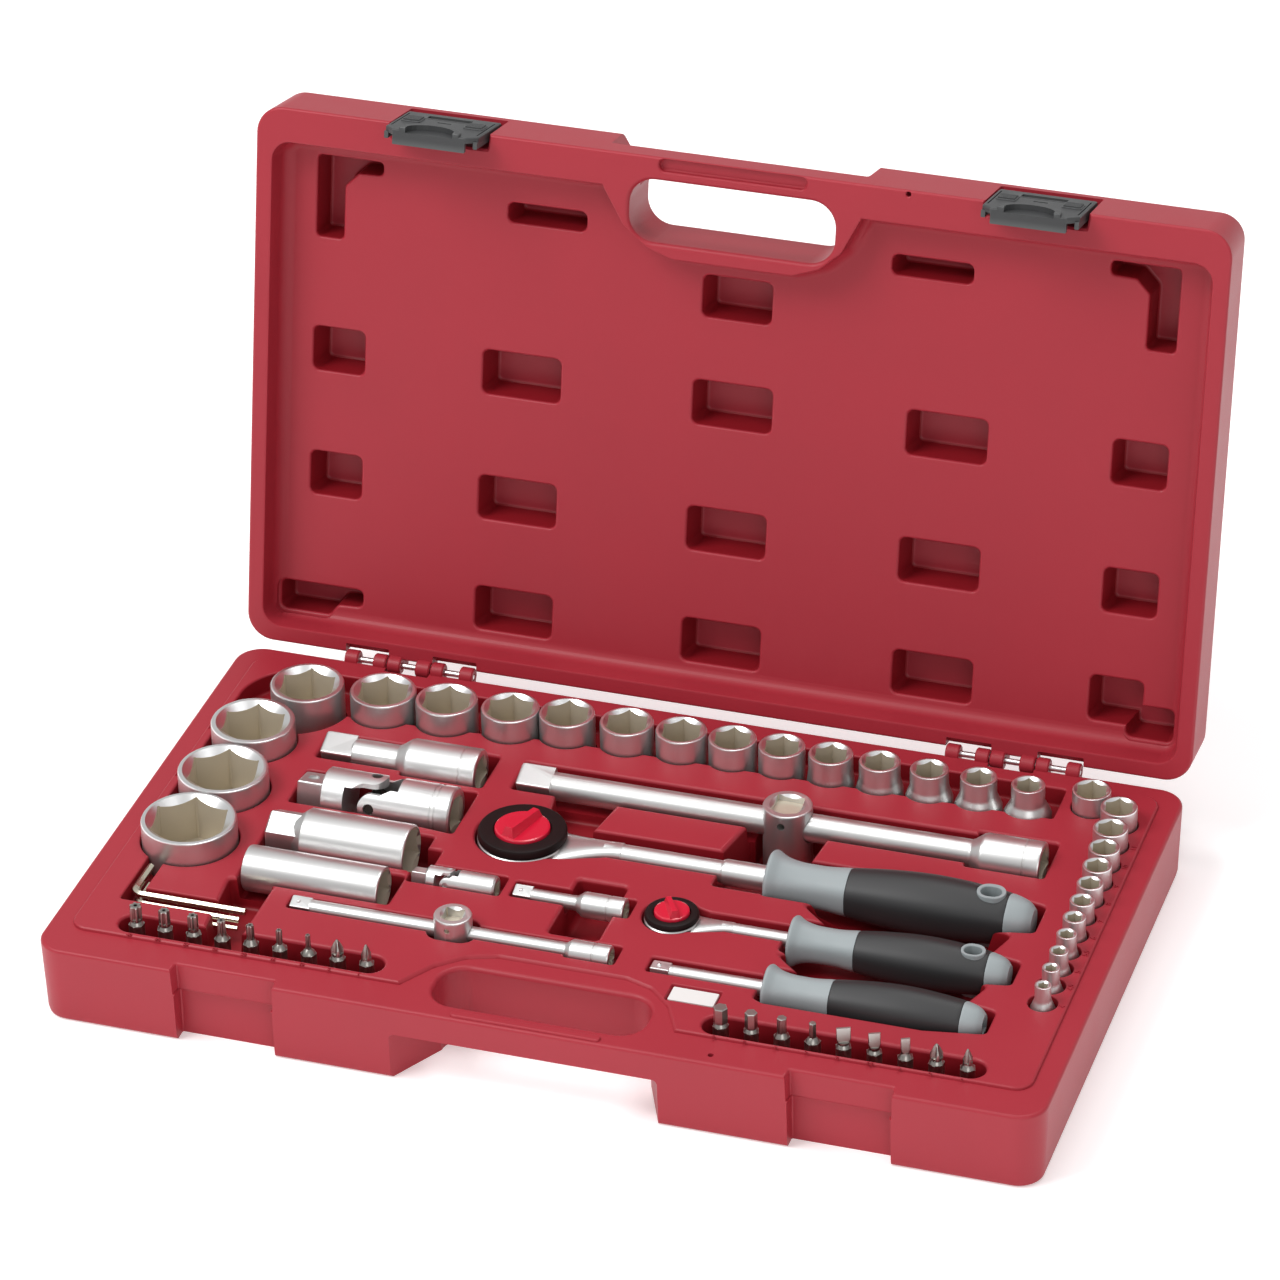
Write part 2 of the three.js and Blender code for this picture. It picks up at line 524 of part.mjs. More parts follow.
function ratchet(prefix, p, s) {
  const z = AXIS_Z - 1;
  const head = turned([[p.headR, 0], [p.headR, s.headT - 1], [p.headR - 1, s.headT]], 24);
  let body = head.translate([p.head, p.y, z - s.headLow]);
  const neck = loft([
    [[p.head + p.headR * 0.5, p.y - p.headR * 0.62, z - s.neckH], [p.head + p.headR * 2, p.y - s.shank, z - s.shank],
      [p.head + p.headR * 2, p.y + s.shank, z - s.shank], [p.head + p.headR * 0.5, p.y + p.headR * 0.62, z - s.neckH]],
    [[p.head + p.headR * 0.5, p.y - p.headR * 0.62, z + s.neckH], [p.head + p.headR * 2, p.y - s.shank, z + s.shank],
      [p.head + p.headR * 2, p.y + s.shank, z + s.shank], [p.head + p.headR * 0.5, p.y + p.headR * 0.62, z + s.neckH]],
  ]);
  const shankLen = p.collar + 20 - (p.head + p.headR * 1.7);
  const shank = alongX(turned([[s.shank, 0], [s.shank, shankLen]], 16), p.head + p.headR * 1.7, p.y, z);
  body = body.add(neck).add(shank);
  const dialZ = z - s.headLow + s.headT;
  body = body.subtract(turned([[s.dialR + 0.3, -s.sunk], [s.dialR + 0.3, 5]], 24).translate([p.head, p.y, dialZ]));
  body = body.subtract(turned([[s.driveR + 0.3, -2], [s.driveR + 0.3, s.sunk + 1]], 20)
    .translate([p.head, p.y, z - s.headLow]));
  add(`${prefix}_ratchet_body`, body, STEEL, 0.9, 0.3);
  add(`${prefix}_ratchet_grip`, grip(p, s.shank + 0.3, s.holeX), BLACK, 0, 0.7);
  let dial = turned([[s.dialR, 0.3 - s.sunk], [s.dialR, 0.8], [s.dialR - 1, 1.5]], 20);
  const bar = taper(roundRect(-s.dialR * 0.94, s.dialR * 0.94, -s.barW, s.barW, s.barW * 0.5, 2),
    roundRect(-s.dialR * 0.8, s.dialR * 0.8, -s.barW * 0.6, s.barW * 0.6, s.barW * 0.3, 2), 0.5, s.barH);
  dial = dial.add(bar.rotate([0, 0, s.dialTurn])).translate([p.head, p.y, dialZ]);
  add(`${prefix}_ratchet_dial`, dial, DIAL_RED, 0, 0.25);
  let drive = turned([[s.driveR, 0.2], [s.driveR, s.sunk + 0.6]], 20);
  drive = drive.add(squareAt(s.square, -s.driveL, 0.8)).translate([p.head, p.y, z - s.headLow]);
  add(`${prefix}_ratchet_drive`, drive, STEEL, 0.9, 0.3);
}

// ---- lying tools ----
function extension(p, square, squareLen, collarAt, spin = SQUARE_SPIN) {
  const len = p.x1 - p.x0;
  const shaft = turned([
    [p.r, squareLen - 1], [p.r, collarAt], [p.R, collarAt + p.R - p.r], [p.R, len - 0.8],
    [p.R - 0.8, len],
  ], 14);
  let body = shaft.add(squareAt(square, 0, squareLen));
  body = body.subtract(squareAt(square + 0.3, len - squareLen, len + 1));
  return alongX(body.rotate([0, 0, spin]), p.x0, p.y, AXIS_Z);
}

function slider(p, square, z0, z1) {
  let body = turned([[p.headR, 0], [p.headR, z1 - z0 - 0.8], [p.headR - 0.8, z1 - z0]], 18);
  body = body.translate([p.head, p.y, z0]);
  const bore = alongX(turned([[p.r + 0.5, 0], [p.r + 0.5, 60]], 14), p.head - 30, p.y, AXIS_Z);
  const hole = squareAt(square + 0.3, AXIS_Z + p.r + 1.2, z1 + 1).translate([p.head, p.y, 0]);
  return cut(body, [bore, hole]);
}

// a fork: a barrel end that narrows to two lugs with a cross hole; axis along Z from 0 to len
function fork(R, len, lug, thick, holeR, alongY) {
  let body = turned([[R, 0], [R, len]], 16);
  const slot = box(-R - 1, R + 1, -R + thick, R - thick, len - lug, len + 1);
  let side = box(R * 0.55, R + 2, -R - 1, R + 1, len - lug * 0.75, len + 1);
  side = side.add(box(-R - 2, -R * 0.55, -R - 1, R + 1, len - lug * 0.75, len + 1));
  const hole = turned([[holeR, -R - 2], [holeR, R + 2]], 8).rotate([90, 0, 0]).translate([0, 0, len - LUG_EYE]);
  body = cut(body, [slot, side, hole]);
  return alongY ? body.rotate([0, 0, 90]) : body;
}

function universalHalf() {
  const p = UJ_HALF;
  const lug = 18;
  const mid = 36.8;
  let male = fork(p.R, mid + LUG_EYE - 13, lug, 4.2, 2.6, false).translate([0, 0, 13]);
  male = male.add(squareAt(12.7, 0, 14));
  const femaleLen = 75 - mid + LUG_EYE;
  let female = fork(p.R, femaleLen, lug, 4.2, 2.6, true);
  female = female.subtract(squareAt(13, -1, 14));
  female = female.rotate([180, 0, 0]).translate([0, 0, 75]);
  const lie = (s) => alongX(s.rotate([0, 0, JOINT_TILT]), p.x0, p.y, AXIS_Z);
  add('half_universal_joint_male_fork', lie(male), STEEL, 0.9, 0.3);
  add('half_universal_joint_female_fork', lie(female), STEEL, 0.9, 0.3);
  const pin = (turn) => turned([[2.2, -p.R + 0.6], [2.2, p.R - 0.6]], 8).rotate([90, 0, 0]).rotate([0, 0, turn]);
  const cross = union([box(-3.6, 3.6, -3.6, 3.6, -3.6, 3.6), pin(0), pin(90)]).translate([0, 0, mid]);
  add('half_universal_joint_cross', lie(cross), DARK, 0.9, 0.4);
}

function universalQuarter() {
  const p = UJ_QUARTER;
  const len = p.x1 - p.x0;
  let body = turned([[p.R - 0.4, 7], [p.R, 7.4], [p.R, 12], [p.R * 0.6, 15], [p.R * 0.6, 20], [p.R, 23],
    [p.R, len - 0.5], [p.R - 0.5, len]], 16);
  body = body.add(squareAt(6.35, 0, 8)).subtract(squareAt(6.6, len - 7, len + 1));
  return alongX(body, p.x0, p.y, AXIS_Z);
}

function sparkPlug21() {
  const p = PLUG_21;
  const len = p.x1 - p.x0;
  let body = turned([[p.r, 14], [p.R, 17.5], [p.R, len - 0.8], [p.R - 0.8, len]], 20);
  body = body.add(hexAt(19, 0, 15, 0)).subtract(squareAt(13, -1, 13));
  body = body.subtract(hexAt(21, 32, len + 1, 0));
  return alongX(body, p.x0, p.y, AXIS_Z);
}

function sparkPlug16() {
  const p = PLUG_16;
  const len = p.x1 - p.x0;
  let body = turned([[p.R - 0.7, 0], [p.R, 0.7], [p.R, len - 0.7], [p.R - 0.7, len]], 20);
  body = body.subtract(hexAt(16, 28, len + 1, 0)).subtract(squareAt(13, -1, 13));
  return alongX(body, p.x0, p.y, AXIS_Z);
}

// ---- small tools ----
function hexKeys() {
  const key = (af, x, y, long, short, zc) => {
    const legA = alongX(hexAt(af, 0, long, 0), x, y, zc);
    const legB = hexAt(af, 0, short, 0).rotate([-90, 0, 0]).translate([x + af / 2, y - af / 2, zc]);
    return legA.add(legB);
  };
  const a = key(3, -203.4, -78.6, 55, 22, 36.6);
  const b = key(2.5, -200.6, -81, 50, 15, 34.2);
  const c = key(2, -202.4, -84, 52, 9, 32.6);
  const link = box(-199, -196.4, -84.6, -77.6, 32.2, 36);
  return union([a, b, c, link]);
}

function bits(b, kinds) {
  const parts = [];
  kinds.forEach(([r, taperTo], i) => {
    const bit = turned([[2.8, 9], [r, 13.2], [r, 21.5], [taperTo, 22.6]], 6).add(hexAt(6.35, 0, 9.6));
    parts.push(bit.translate([b.x0 + i * b.pitch, b.y, b.tip - 22.6]));
  });
  parts.push(box(b.x0, b.x0 + 8 * b.pitch, b.y - 1, b.y + 1, b.tip - 21.6, b.tip - 20));
  return union(parts);
}

// ---- assembly ----
add('case_base', caseBase(), RED, 0, 0.5);
add('case_lid', caseLid(), RED, 0, 0.5);
add('hinge_pin_left', hingePin(-HINGE_X), STEEL, 1, 0.2);
add('hinge_pin_right', hingePin(HINGE_X), STEEL, 1, 0.2);
add('latch_left', latch(LATCH_X[0]), GREY, 0, 0.6);
add('latch_right', latch(LATCH_X[1]), GREY, 0, 0.6);
for (const [size, x, y, od, len, drive] of HALF_SOCKETS) {
  add(`half_socket_${size}`, socket(size, x, y, od, len, drive, HALF_TOP_Z, 12.8, 14), STEEL, 0.9, 0.3);
}
for (const [size, x, y, od, len, drive] of QUARTER_SOCKETS) {
  const flats = Number(size.replace('_', '.'));
  add(`quarter_socket_${size}`, socket(flats, x, y, od, len, drive, QUARTER_TOP_Z, 6.5, 10), STEEL, 0.9, 0.3);
}
add('half_extension_short', extension(EXT_HALF, 12.7, 15, 40), STEEL, 0.9, 0.3);
universalHalf();
add('spark_plug_socket_21', sparkPlug21(), STEEL, 0.9, 0.3);
add('spark_plug_socket_16', sparkPlug16(), STEEL, 0.9, 0.3);
add('half_extension_bar', extension(BAR_HALF, 12.7, 16, 216), STEEL, 0.9, 0.3);
add('half_sliding_head', slider(BAR_HALF, 12.7, 15, 48.8), STEEL, 0.9, 0.3);
ratchet('half', RATCHET_HALF, {
  headT: 21, headLow: 15, neckH: 6.5, shank: 5, dialR: 12.7, sunk: 4, barW: 4, barH: 5.6, dialTurn: 72,
  driveR: 9.5, square: 12.7, driveL: 13, holeX: 168.5,
});
ratchet('quarter', RATCHET_QUARTER, {
  headT: 14, headLow: 9, neckH: 4, shank: 3.4, dialR: 8, sunk: 3, barW: 2.7, barH: 4.2, dialTurn: 120,
  driveR: 5.6, square: 6.35, driveL: 8, holeX: 172,
});
const spinnerLen = SPINNER.collar + 20 - SPINNER.x0;
const spinnerShaft = turned([[SPINNER.r - 0.3, 8], [SPINNER.r, 9], [SPINNER.r, spinnerLen]], 14)
  .add(squareAt(6.35, 0, 8.6));
add('spinner_shaft', alongX(spinnerShaft, SPINNER.x0, SPINNER.y, AXIS_Z - 1), STEEL, 0.9, 0.3);
const spinnerSocket = alongX(squareAt(6.6, 0, 12), SPINNER.end - 9, SPINNER.y, AXIS_Z - 1);
add('spinner_grip', grip(SPINNER, SPINNER.r + 0.3, 0).subtract(spinnerSocket), BLACK, 0, 0.7);
add('quarter_sliding_bar', extension(BAR_QUARTER, 6.35, 9, 130), STEEL, 0.9, 0.3);
add('quarter_sliding_head', slider(BAR_QUARTER, 8.6, 23, 47.5), STEEL, 0.9, 0.3);
add('quarter_universal_joint', universalQuarter(), STEEL, 0.9, 0.3);
add('quarter_extension', extension(EXT_QUARTER, 6.35, 8, 32), STEEL, 0.9, 0.3);
add('hex_keys', hexKeys(), NICKEL, 0.9, 0.25);
const star = [[2.9, 2.4], [2.6, 2.1], [2.4, 1.9], [2.1, 1.7], [1.8, 1.4], [1.4, 1.1], [1.2, 1]];
add('bits_left', bits(BITS_LEFT, [...star, [2.8, 1.4], [2.2, 1]]), DARK, 0.9, 0.4);
const flat = [[3.4, 3.1], [2.8, 2.5], [2.3, 2], [1.7, 1.5], [3, 2.6], [2.6, 2.2], [2, 1.6], [2.8, 1.4], [2.2, 1]];
add('bits_right', bits(BITS_RIGHT, flat), DARK, 0.9, 0.4);

export default group;
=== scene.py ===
import bmesh
import bpy
import json
from math import copysign, cos, hypot, pi, radians, sin, sqrt, tan
from mathutils import Matrix, Vector

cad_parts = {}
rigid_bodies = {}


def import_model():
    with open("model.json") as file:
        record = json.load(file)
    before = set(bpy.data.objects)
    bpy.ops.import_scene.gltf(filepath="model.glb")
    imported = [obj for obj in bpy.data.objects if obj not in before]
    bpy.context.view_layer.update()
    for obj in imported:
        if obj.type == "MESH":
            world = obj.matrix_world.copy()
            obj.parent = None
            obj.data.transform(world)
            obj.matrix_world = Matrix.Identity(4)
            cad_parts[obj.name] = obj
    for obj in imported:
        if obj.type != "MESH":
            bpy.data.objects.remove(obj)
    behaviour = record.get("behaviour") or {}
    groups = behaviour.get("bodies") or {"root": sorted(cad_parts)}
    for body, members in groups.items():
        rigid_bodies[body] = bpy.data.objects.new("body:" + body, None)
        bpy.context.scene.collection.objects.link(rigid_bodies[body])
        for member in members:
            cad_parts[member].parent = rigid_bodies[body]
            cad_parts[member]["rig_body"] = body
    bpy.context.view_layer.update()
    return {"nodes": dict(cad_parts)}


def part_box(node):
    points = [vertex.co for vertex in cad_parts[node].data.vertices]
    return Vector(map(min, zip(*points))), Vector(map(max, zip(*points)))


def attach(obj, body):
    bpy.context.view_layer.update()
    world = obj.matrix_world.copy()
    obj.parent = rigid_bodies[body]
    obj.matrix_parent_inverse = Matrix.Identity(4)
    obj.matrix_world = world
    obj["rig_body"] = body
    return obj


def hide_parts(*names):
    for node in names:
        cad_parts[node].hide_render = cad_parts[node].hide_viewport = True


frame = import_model()

# Socket wrench set in its case. Everything below is in millimetres until make() turns it into metres.
MM = 0.001
CASE_W, CASE_D, BASE_H, LID_T, CORNER_R = 458.0, 262.0, 38.0, 34.0, 13.0
TOP = 39.5
FRONT = -CASE_D / 2
HINGE_Y, HINGE_X, KNUCKLE_R, PIN_R = 133.4, 146.5, 4.2, 1.5
OPEN_ANGLE, LATCH_REST, RIM_GAP = 101.0, 3.0, 0.3
LATCH_X, LATCH_W, BAY_W = (-140.0, 140.0), 44.6, 46.0
LATCH_Y, LATCH_Z, LEDGE_Z = -127.6, 58.0, 25.0
PANEL_IN, POCKET_IN = 14.5, 32.0
AXIS_Z = 38.0
DECK = (-219, 219, -113, 121)
LID_SPACE = (-221, 221, -114.6, 123)
GRIP_X = (-49, 48)
GRIP_Z = 37.0
SQUARE_SPIN = 20.0
GRIP_SPACE_Z = 24.0
HALF = {32: (43.5, 34), 30: (41.5, 32), 27: (39, 30), 24: (34.5, 28), 22: (31, 26), 21: (29, 25),
    20: (27.2, 24), 19: (26, 24), 18: (25, 24), 17: (23.8, 23.6), 16: (22.3, 22.3), 15: (21.6, 21.6),
    14: (20.5, 22), 13: (19, 22), 12: (17.8, 22), 11: (16.8, 22), 10: (15.4, 22)}
QUARTER = {"13": (17.6, 14), "12": (16.8, 13.4), "11": (15.8, 13), "10": (14.2, 12.6), "09": (13.2, 12.2),
    "08": (11.8, 12), "07": (11, 12), "06": (10.2, 12), "05_5": (9, 12), "05": (8.4, 12),
    "04_5": (7.8, 12), "04": (7.2, 12)}


def span(node):
    """Lowest and highest corner of a CAD node, in millimetres."""
    lo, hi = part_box(node)
    return lo / MM, hi / MM


def centre(node):
    lo, hi = span(node)
    return (lo + hi) / 2


def body_of(node):
    return frame["nodes"][node]["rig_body"]


def shift(x, y, z):
    return Matrix.Translation((x, y, z))


def rotate(degrees, axis):
    return Matrix.Rotation(radians(degrees), 4, axis)


# carries the lid from shut to open about the hinge line
SWING = shift(0, HINGE_Y, BASE_H) @ rotate(-OPEN_ANGLE, "X") @ shift(0, -HINGE_Y, -BASE_H)


# ---- camera and light
def camera():
    data = bpy.data.cameras.new("camera")
    cam = bpy.data.objects.new("camera", data)
    bpy.context.scene.collection.objects.link(cam)
    right, up = Vector((0.9516, 0.3067, -0.0183)), Vector((-0.1470, 0.5069, 0.8494))
    back = right.cross(up).normalized()
    right = up.cross(back).normalized()
    turn = Matrix((right, up, back)).transposed().to_4x4()
    cam.matrix_world = shift(0.7385, -2.1688, 1.5801) @ turn
    data.sensor_width = 36.0
    data.lens = 173.9
    data.clip_end = 30
    bpy.context.scene.camera = cam


def area_light(name, place, target, size, power, colour=(1, 1, 1)):
    data = bpy.data.lights.new(name, "AREA")
    data.shape = "RECTANGLE"
    data.size, data.size_y = size
    data.energy = power
    data.color = colour
    lamp = bpy.data.objects.new(name, data)
    bpy.context.scene.collection.objects.link(lamp)
    lamp.location = place
    lamp.rotation_euler = (Vector(target) - Vector(place)).to_track_quat("-Z", "Y").to_euler()


def studio():
    area_light("key_light", (-1.3, -0.9, 2.3), (0, 0, 0.05), (1.3, 1.3), 44)
    area_light("front_light", (1.2, -2.4, 1.3), (0, 0, 0.12), (1.6, 1.2), 12)
    area_light("top_light", (0.2, 0.6, 2.4), (0, 0, 0.05), (1.2, 0.8), 16)
    world = bpy.data.worlds.new("studio")
    world.use_nodes = True
    shade = world.node_tree.nodes["Background"]
    shade.inputs["Color"].default_value = (1, 1, 1, 1)
    shade.inputs["Strength"].default_value = 0.55
    bpy.context.scene.world = world
    bpy.ops.mesh.primitive_plane_add(size=14)
    floor = bpy.context.object
    floor.name = "floor"
    mat = bpy.data.materials.new("floor_white")
    mat.use_nodes = True
    skin = mat.node_tree.nodes["Principled BSDF"]
    skin.inputs["Base Color"].default_value = (0.93, 0.93, 0.93, 1)
    skin.inputs["Roughness"].default_value = 0.7
    skin.inputs["Emission Color"].default_value = (1, 1, 1, 1)
    skin.inputs["Emission Strength"].default_value = 0.3
    floor.data.materials.append(mat)
    bpy.context.scene.view_settings.view_transform = "Standard"


# ---- materials
def linear(r, g, b):
    """sRGB 0 to 255 as linear colour."""
    out = []
    for v in (r, g, b):
        v /= 255
        out.append(v / 12.92 if v <= 0.04045 else ((v + 0.055) / 1.055) ** 2.4)
    return (*out, 1)


def finish(name, colour, rough, metal=0.0, grain=2500.0, bump=0.1, vary=0.06, coat=0.0, edge_tint=None,
        specular=0.5):
    """A procedural material: fine grain as bump, blotchy colour and roughness, and a paler colour on convex
    edges.
    """
    mat = bpy.data.materials.new(name)
    mat.use_nodes = True
    nodes, links = mat.node_tree.nodes, mat.node_tree.links
    skin = nodes["Principled BSDF"]
    skin.inputs["Metallic"].default_value = metal
    skin.inputs["Coat Weight"].default_value = coat
    skin.inputs["Specular IOR Level"].default_value = specular
    place = nodes.new("ShaderNodeTexCoord")
    fine = nodes.new("ShaderNodeTexNoise")
    fine.inputs["Scale"].default_value = grain
    fine.inputs["Detail"].default_value = 3
    links.new(place.outputs["Object"], fine.inputs["Vector"])
    broad = nodes.new("ShaderNodeTexNoise")
    broad.inputs["Scale"].default_value = 22
    broad.inputs["Detail"].default_value = 4
    links.new(place.outputs["Object"], broad.inputs["Vector"])
    blotch = nodes.new("ShaderNodeMix")
    blotch.data_type = "RGBA"
    blotch.inputs["A"].default_value = tuple(c * (1 - vary) for c in colour[:3]) + (1,)
    blotch.inputs["B"].default_value = tuple(min(1, c * (1 + vary)) for c in colour[:3]) + (1,)
    links.new(broad.outputs["Fac"], blotch.inputs["Factor"])
    shown = blotch.outputs["Result"]
    # the optional edge colour lightens the convex edges picked out by pointiness
    if edge_tint:
        edge = nodes.new("ShaderNodeNewGeometry")
        ramp = nodes.new("ShaderNodeValToRGB")
        ramp.color_ramp.elements[0].position = 0.53
        ramp.color_ramp.elements[1].position = 0.62
        links.new(edge.outputs["Pointiness"], ramp.inputs["Fac"])
        edge_mix = nodes.new("ShaderNodeMix")
        edge_mix.data_type = "RGBA"
        edge_mix.inputs["B"].default_value = edge_tint
        links.new(ramp.outputs["Color"], edge_mix.inputs["Factor"])
        links.new(shown, edge_mix.inputs["A"])
        shown = edge_mix.outputs["Result"]
    links.new(shown, skin.inputs["Base Color"])
    spread = nodes.new("ShaderNodeMapRange")
    spread.inputs["To Min"].default_value = rough - 0.05
    spread.inputs["To Max"].default_value = rough + 0.05
    links.new(broad.outputs["Fac"], spread.inputs["Value"])
    links.new(spread.outputs["Result"], skin.inputs["Roughness"])
    relief = nodes.new("ShaderNodeBump")
    relief.inputs["Strength"].default_value = bump
    relief.inputs["Distance"].default_value = 0.0002
    links.new(fine.outputs["Fac"], relief.inputs["Height"])
    links.new(relief.outputs["Normal"], skin.inputs["Normal"])
    return mat


RED = finish("case_red_plastic", linear(160, 42, 54), 0.42, grain=1800, bump=0.22, vary=0.05,
    specular=0.32)
# painted shade: a darker red laid on the faces down in the base's wells and the lid's pockets, standing in
# for the shade that falls there
RED_PAINTED_SHADE = finish("case_red_painted_well_shade", linear(138, 22, 32), 0.45, grain=1800, bump=0.2, vary=0.05,
    specular=0.28)
CHROME = finish("satin_chrome", linear(214, 214, 213), 0.36, metal=0.93, grain=3500, bump=0.05, vary=0.03,
    edge_tint=linear(236, 236, 236))
BRIGHT = finish("bright_chrome", linear(236, 236, 236), 0.3, metal=1, grain=3000, bump=0.03, vary=0.02)
BORE = finish("blasted_bore", linear(204, 194, 175), 0.45, metal=0.45, grain=3500, bump=0.12, vary=0.05)
BLACK = finish("soft_black", linear(42, 42, 43), 0.5, grain=2600, bump=0.25, vary=0.12)
GREY = finish("soft_grey", linear(150, 158, 160), 0.5, grain=2600, bump=0.2, vary=0.04)
RING = finish("selector_ring", linear(26, 16, 16), 0.5, grain=2500, bump=0.2, vary=0.1, specular=0.2)
DIAL = finish("gloss_red", linear(206, 26, 54), 0.24, grain=900, bump=0.03, vary=0.04, coat=0.5)
LATCH = finish("latch_grey_plastic", linear(56, 57, 58), 0.45, grain=2200, bump=0.25, vary=0.08,
    edge_tint=linear(88, 90, 90))
NICKEL = finish("warm_nickel", linear(214, 208, 190), 0.24, metal=1, grain=3000, bump=0.05, vary=0.04)
BIT = finish("tempered_steel", linear(158, 154, 149), 0.3, metal=1, grain=3000, bump=0.1, vary=0.1,
    edge_tint=linear(214, 212, 208))
PLATE = finish("label_plate", linear(226, 224, 222), 0.35, grain=2200, bump=0.08, vary=0.02)
HOLLOW = finish("bore_shadow", linear(54, 50, 46), 0.6, metal=0.6, grain=2500, bump=0.1, vary=0.1)
STEEL_MATS = [CHROME, BORE, BRIGHT, HOLLOW]


# ---- outlines: each returns a function of growth
def rect(x0, x1, y0, y1, r, seg=6):
    def at(d):
        q = max(r + d, 0.15)
        out = []
        for cx, cy, a0 in ((x1 + d - q, y0 - d + q, -90), (x1 + d - q, y1 + d - q, 0),
            (x0 - d + q, y1 + d - q, 90), (x0 - d + q, y0 - d + q, 180)):
            for i in range(seg + 1):
                a = radians(a0 + 90 * i / seg)
                out.append((cx + q * cos(a), cy + q * sin(a)))
        return out
    return at


def disc(cx, cy, r, seg=48):
    def at(d):
        steps = [2 * pi * i / seg for i in range(seg)]
        return [(cx + (r + d) * cos(a), cy + (r + d) * sin(a)) for a in steps]
    return at


def poly(points, r, seg=5):
    """A polygon with every corner rounded to r."""
    flat = [Vector(p) for p in points]
    area = sum(a.x * b.y - b.x * a.y for a, b in zip(flat, flat[1:] + flat[:1]))
    if area < 0:
        flat.reverse()
    n = len(flat)

    def at(d):
        moved = []
        for i in range(n):
            e1 = (flat[i] - flat[i - 1]).normalized()
            e2 = (flat[(i + 1) % n] - flat[i]).normalized()
            n1, n2 = Vector((e1.y, -e1.x)), Vector((e2.y, -e2.x))
            moved.append(flat[i] + (n1 + n2) * (d / (1 + n1.dot(n2))))
        out = []
        for i in range(n):
            p, q, s = moved[i - 1], moved[i], moved[(i + 1) % n]
            e1, e2 = (p - q).normalized(), (s - q).normalized()
            half = e1.angle(e2) / 2
            turn = (q - p).cross(s - q)
            want = r + d if turn > 0 else r - d
            t = min(max(want, 0.2) / tan(half), 0.45 * min((p - q).length, (s - q).length))
            a, b = q + e1 * t, q + e2 * t
            for k in range(seg + 1):
                f = k / seg
                out.append(tuple((1 - f) ** 2 * a + 2 * f * (1 - f) * q + f * f * b))
        return out
    return at


# ---- solids: (vertices, faces)
def loft(rings, closed=False):
    n, m = len(rings[0]), len(rings)
    verts = [tuple(p) for ring in rings for p in ring]
    faces = []
    for k in range(m if closed else m - 1):
        a, b = k * n, ((k + 1) % m) * n
        faces += [(a + i, a + (i + 1) % n, b + (i + 1) % n, b + i) for i in range(n)]
    if not closed:
        faces.append(tuple(reversed(range(n))))
        faces.append(tuple(range((m - 1) * n, m * n)))
    return verts, faces


def lift(outline, z):
    return [(x, y, z) for x, y in outline]


def stack(at, levels):
    """A solid through (growth, height) levels of one outline."""
    return loft([lift(at(d), z) for d, z in levels])


def block(at, z0, z1, top=1.0, foot=0.0, steps=4):
    """An upright solid with rounded top and bottom edges."""
    levels = [(-foot + foot * sin(a), z0 + foot - foot * cos(a))
        for a in quarter(steps)] if foot else [(0, z0)]
    levels += [(-top + top * cos(a), z1 - top + top * sin(a)) for a in quarter(steps)] if top else [(0,
            z1)]
    return stack(at, levels)


def quarter(steps):
    return [pi / 2 * i / steps for i in range(steps + 1)]


def hollow(at, floor, top, mouth=1.2, foot=1.0, draft=0.3, steps=4):
    """A cutter for a well: rounded foot, slightly open walls and a rounded mouth at height top."""
    foot = min(foot, (top - floor) * 0.4)
    mouth = min(mouth, (top - floor) * 0.5)
    levels = [(-draft - foot + foot * sin(a), floor + foot - foot * cos(a)) for a in quarter(steps)]
    levels += [(mouth - mouth * cos(a), top - mouth + mouth * sin(a)) for a in quarter(steps)]
    levels.append((mouth, top + 6))
    return stack(at, levels)


def turned(profile, seg=48, turn=0.0):
    return loft([[(r * cos(turn + 2 * pi * i / seg), r * sin(turn + 2 * pi * i / seg), z)
            for i in range(seg)] for r, z in profile])


def dome(r):
    """The cap of a ball, flat side down."""
    return turned([(r * cos(a), r * sin(a)) for a in (radians(t) for t in range(0, 81, 20))], 20)


def hoop(profile, seg=48):
    """A ring turned from a closed profile."""
    return loft([[(r * cos(2 * pi * i / seg), r * sin(2 * pi * i / seg), z) for i in range(seg)] for r,
            z in profile], closed=True)


def square(side, z0, z1, round_=0.8, tip=0.0):
    h = side / 2
    at = rect(-h, h, -h, h, round_, 3)
    levels = [(0, z0), (0, z1)]
    if tip:
        levels = [(-tip, z0), (-tip * 0.3, z0 + tip * 0.6), (0, z0 + tip * 1.6), (0, z1)]
    return stack(at, levels)


def hexagon(flats, z0, z1, round_=0.0, turn=30.0):
    r = flats / sqrt(3)
    points = [(r * cos(radians(turn + 60 * i)), r * sin(radians(turn + 60 * i))) for i in range(6)]
    if round_:
        return stack(poly(points, round_, 3), [(0, z0), (0, z1)])
    return loft([lift(points, z0), lift(points, z1)])


def moved(raw, matrix):
    return [tuple(matrix @ Vector(v)) for v in raw[0]], raw[1]


def at(raw, x, y, z):
    return moved(raw, shift(x, y, z))


def along(raw, x, y, z, spin=0.0):
    """Lays a Z-axis solid along +X, after a spin about its own axis."""
    lay = rotate(90, "Y") @ rotate(spin, "Z")
    return moved(raw, shift(x, y, z) @ lay)


def together(*raws):
    verts, faces = [], []
    for v, f in raws:
        base = len(verts)
        verts += v
        faces += [tuple(i + base for i in face) for face in f]
    return verts, faces


def temp(raw):
    mesh = bpy.data.meshes.new("temp")
    mesh.from_pydata(raw[0], [], raw[1])
    tidy = bmesh.new()
    tidy.from_mesh(mesh)
    bmesh.ops.recalc_face_normals(tidy, faces=tidy.faces)
    tidy.to_mesh(mesh)
    tidy.free()
    obj = bpy.data.objects.new("temp", mesh)
    bpy.context.scene.collection.objects.link(obj)
    return obj


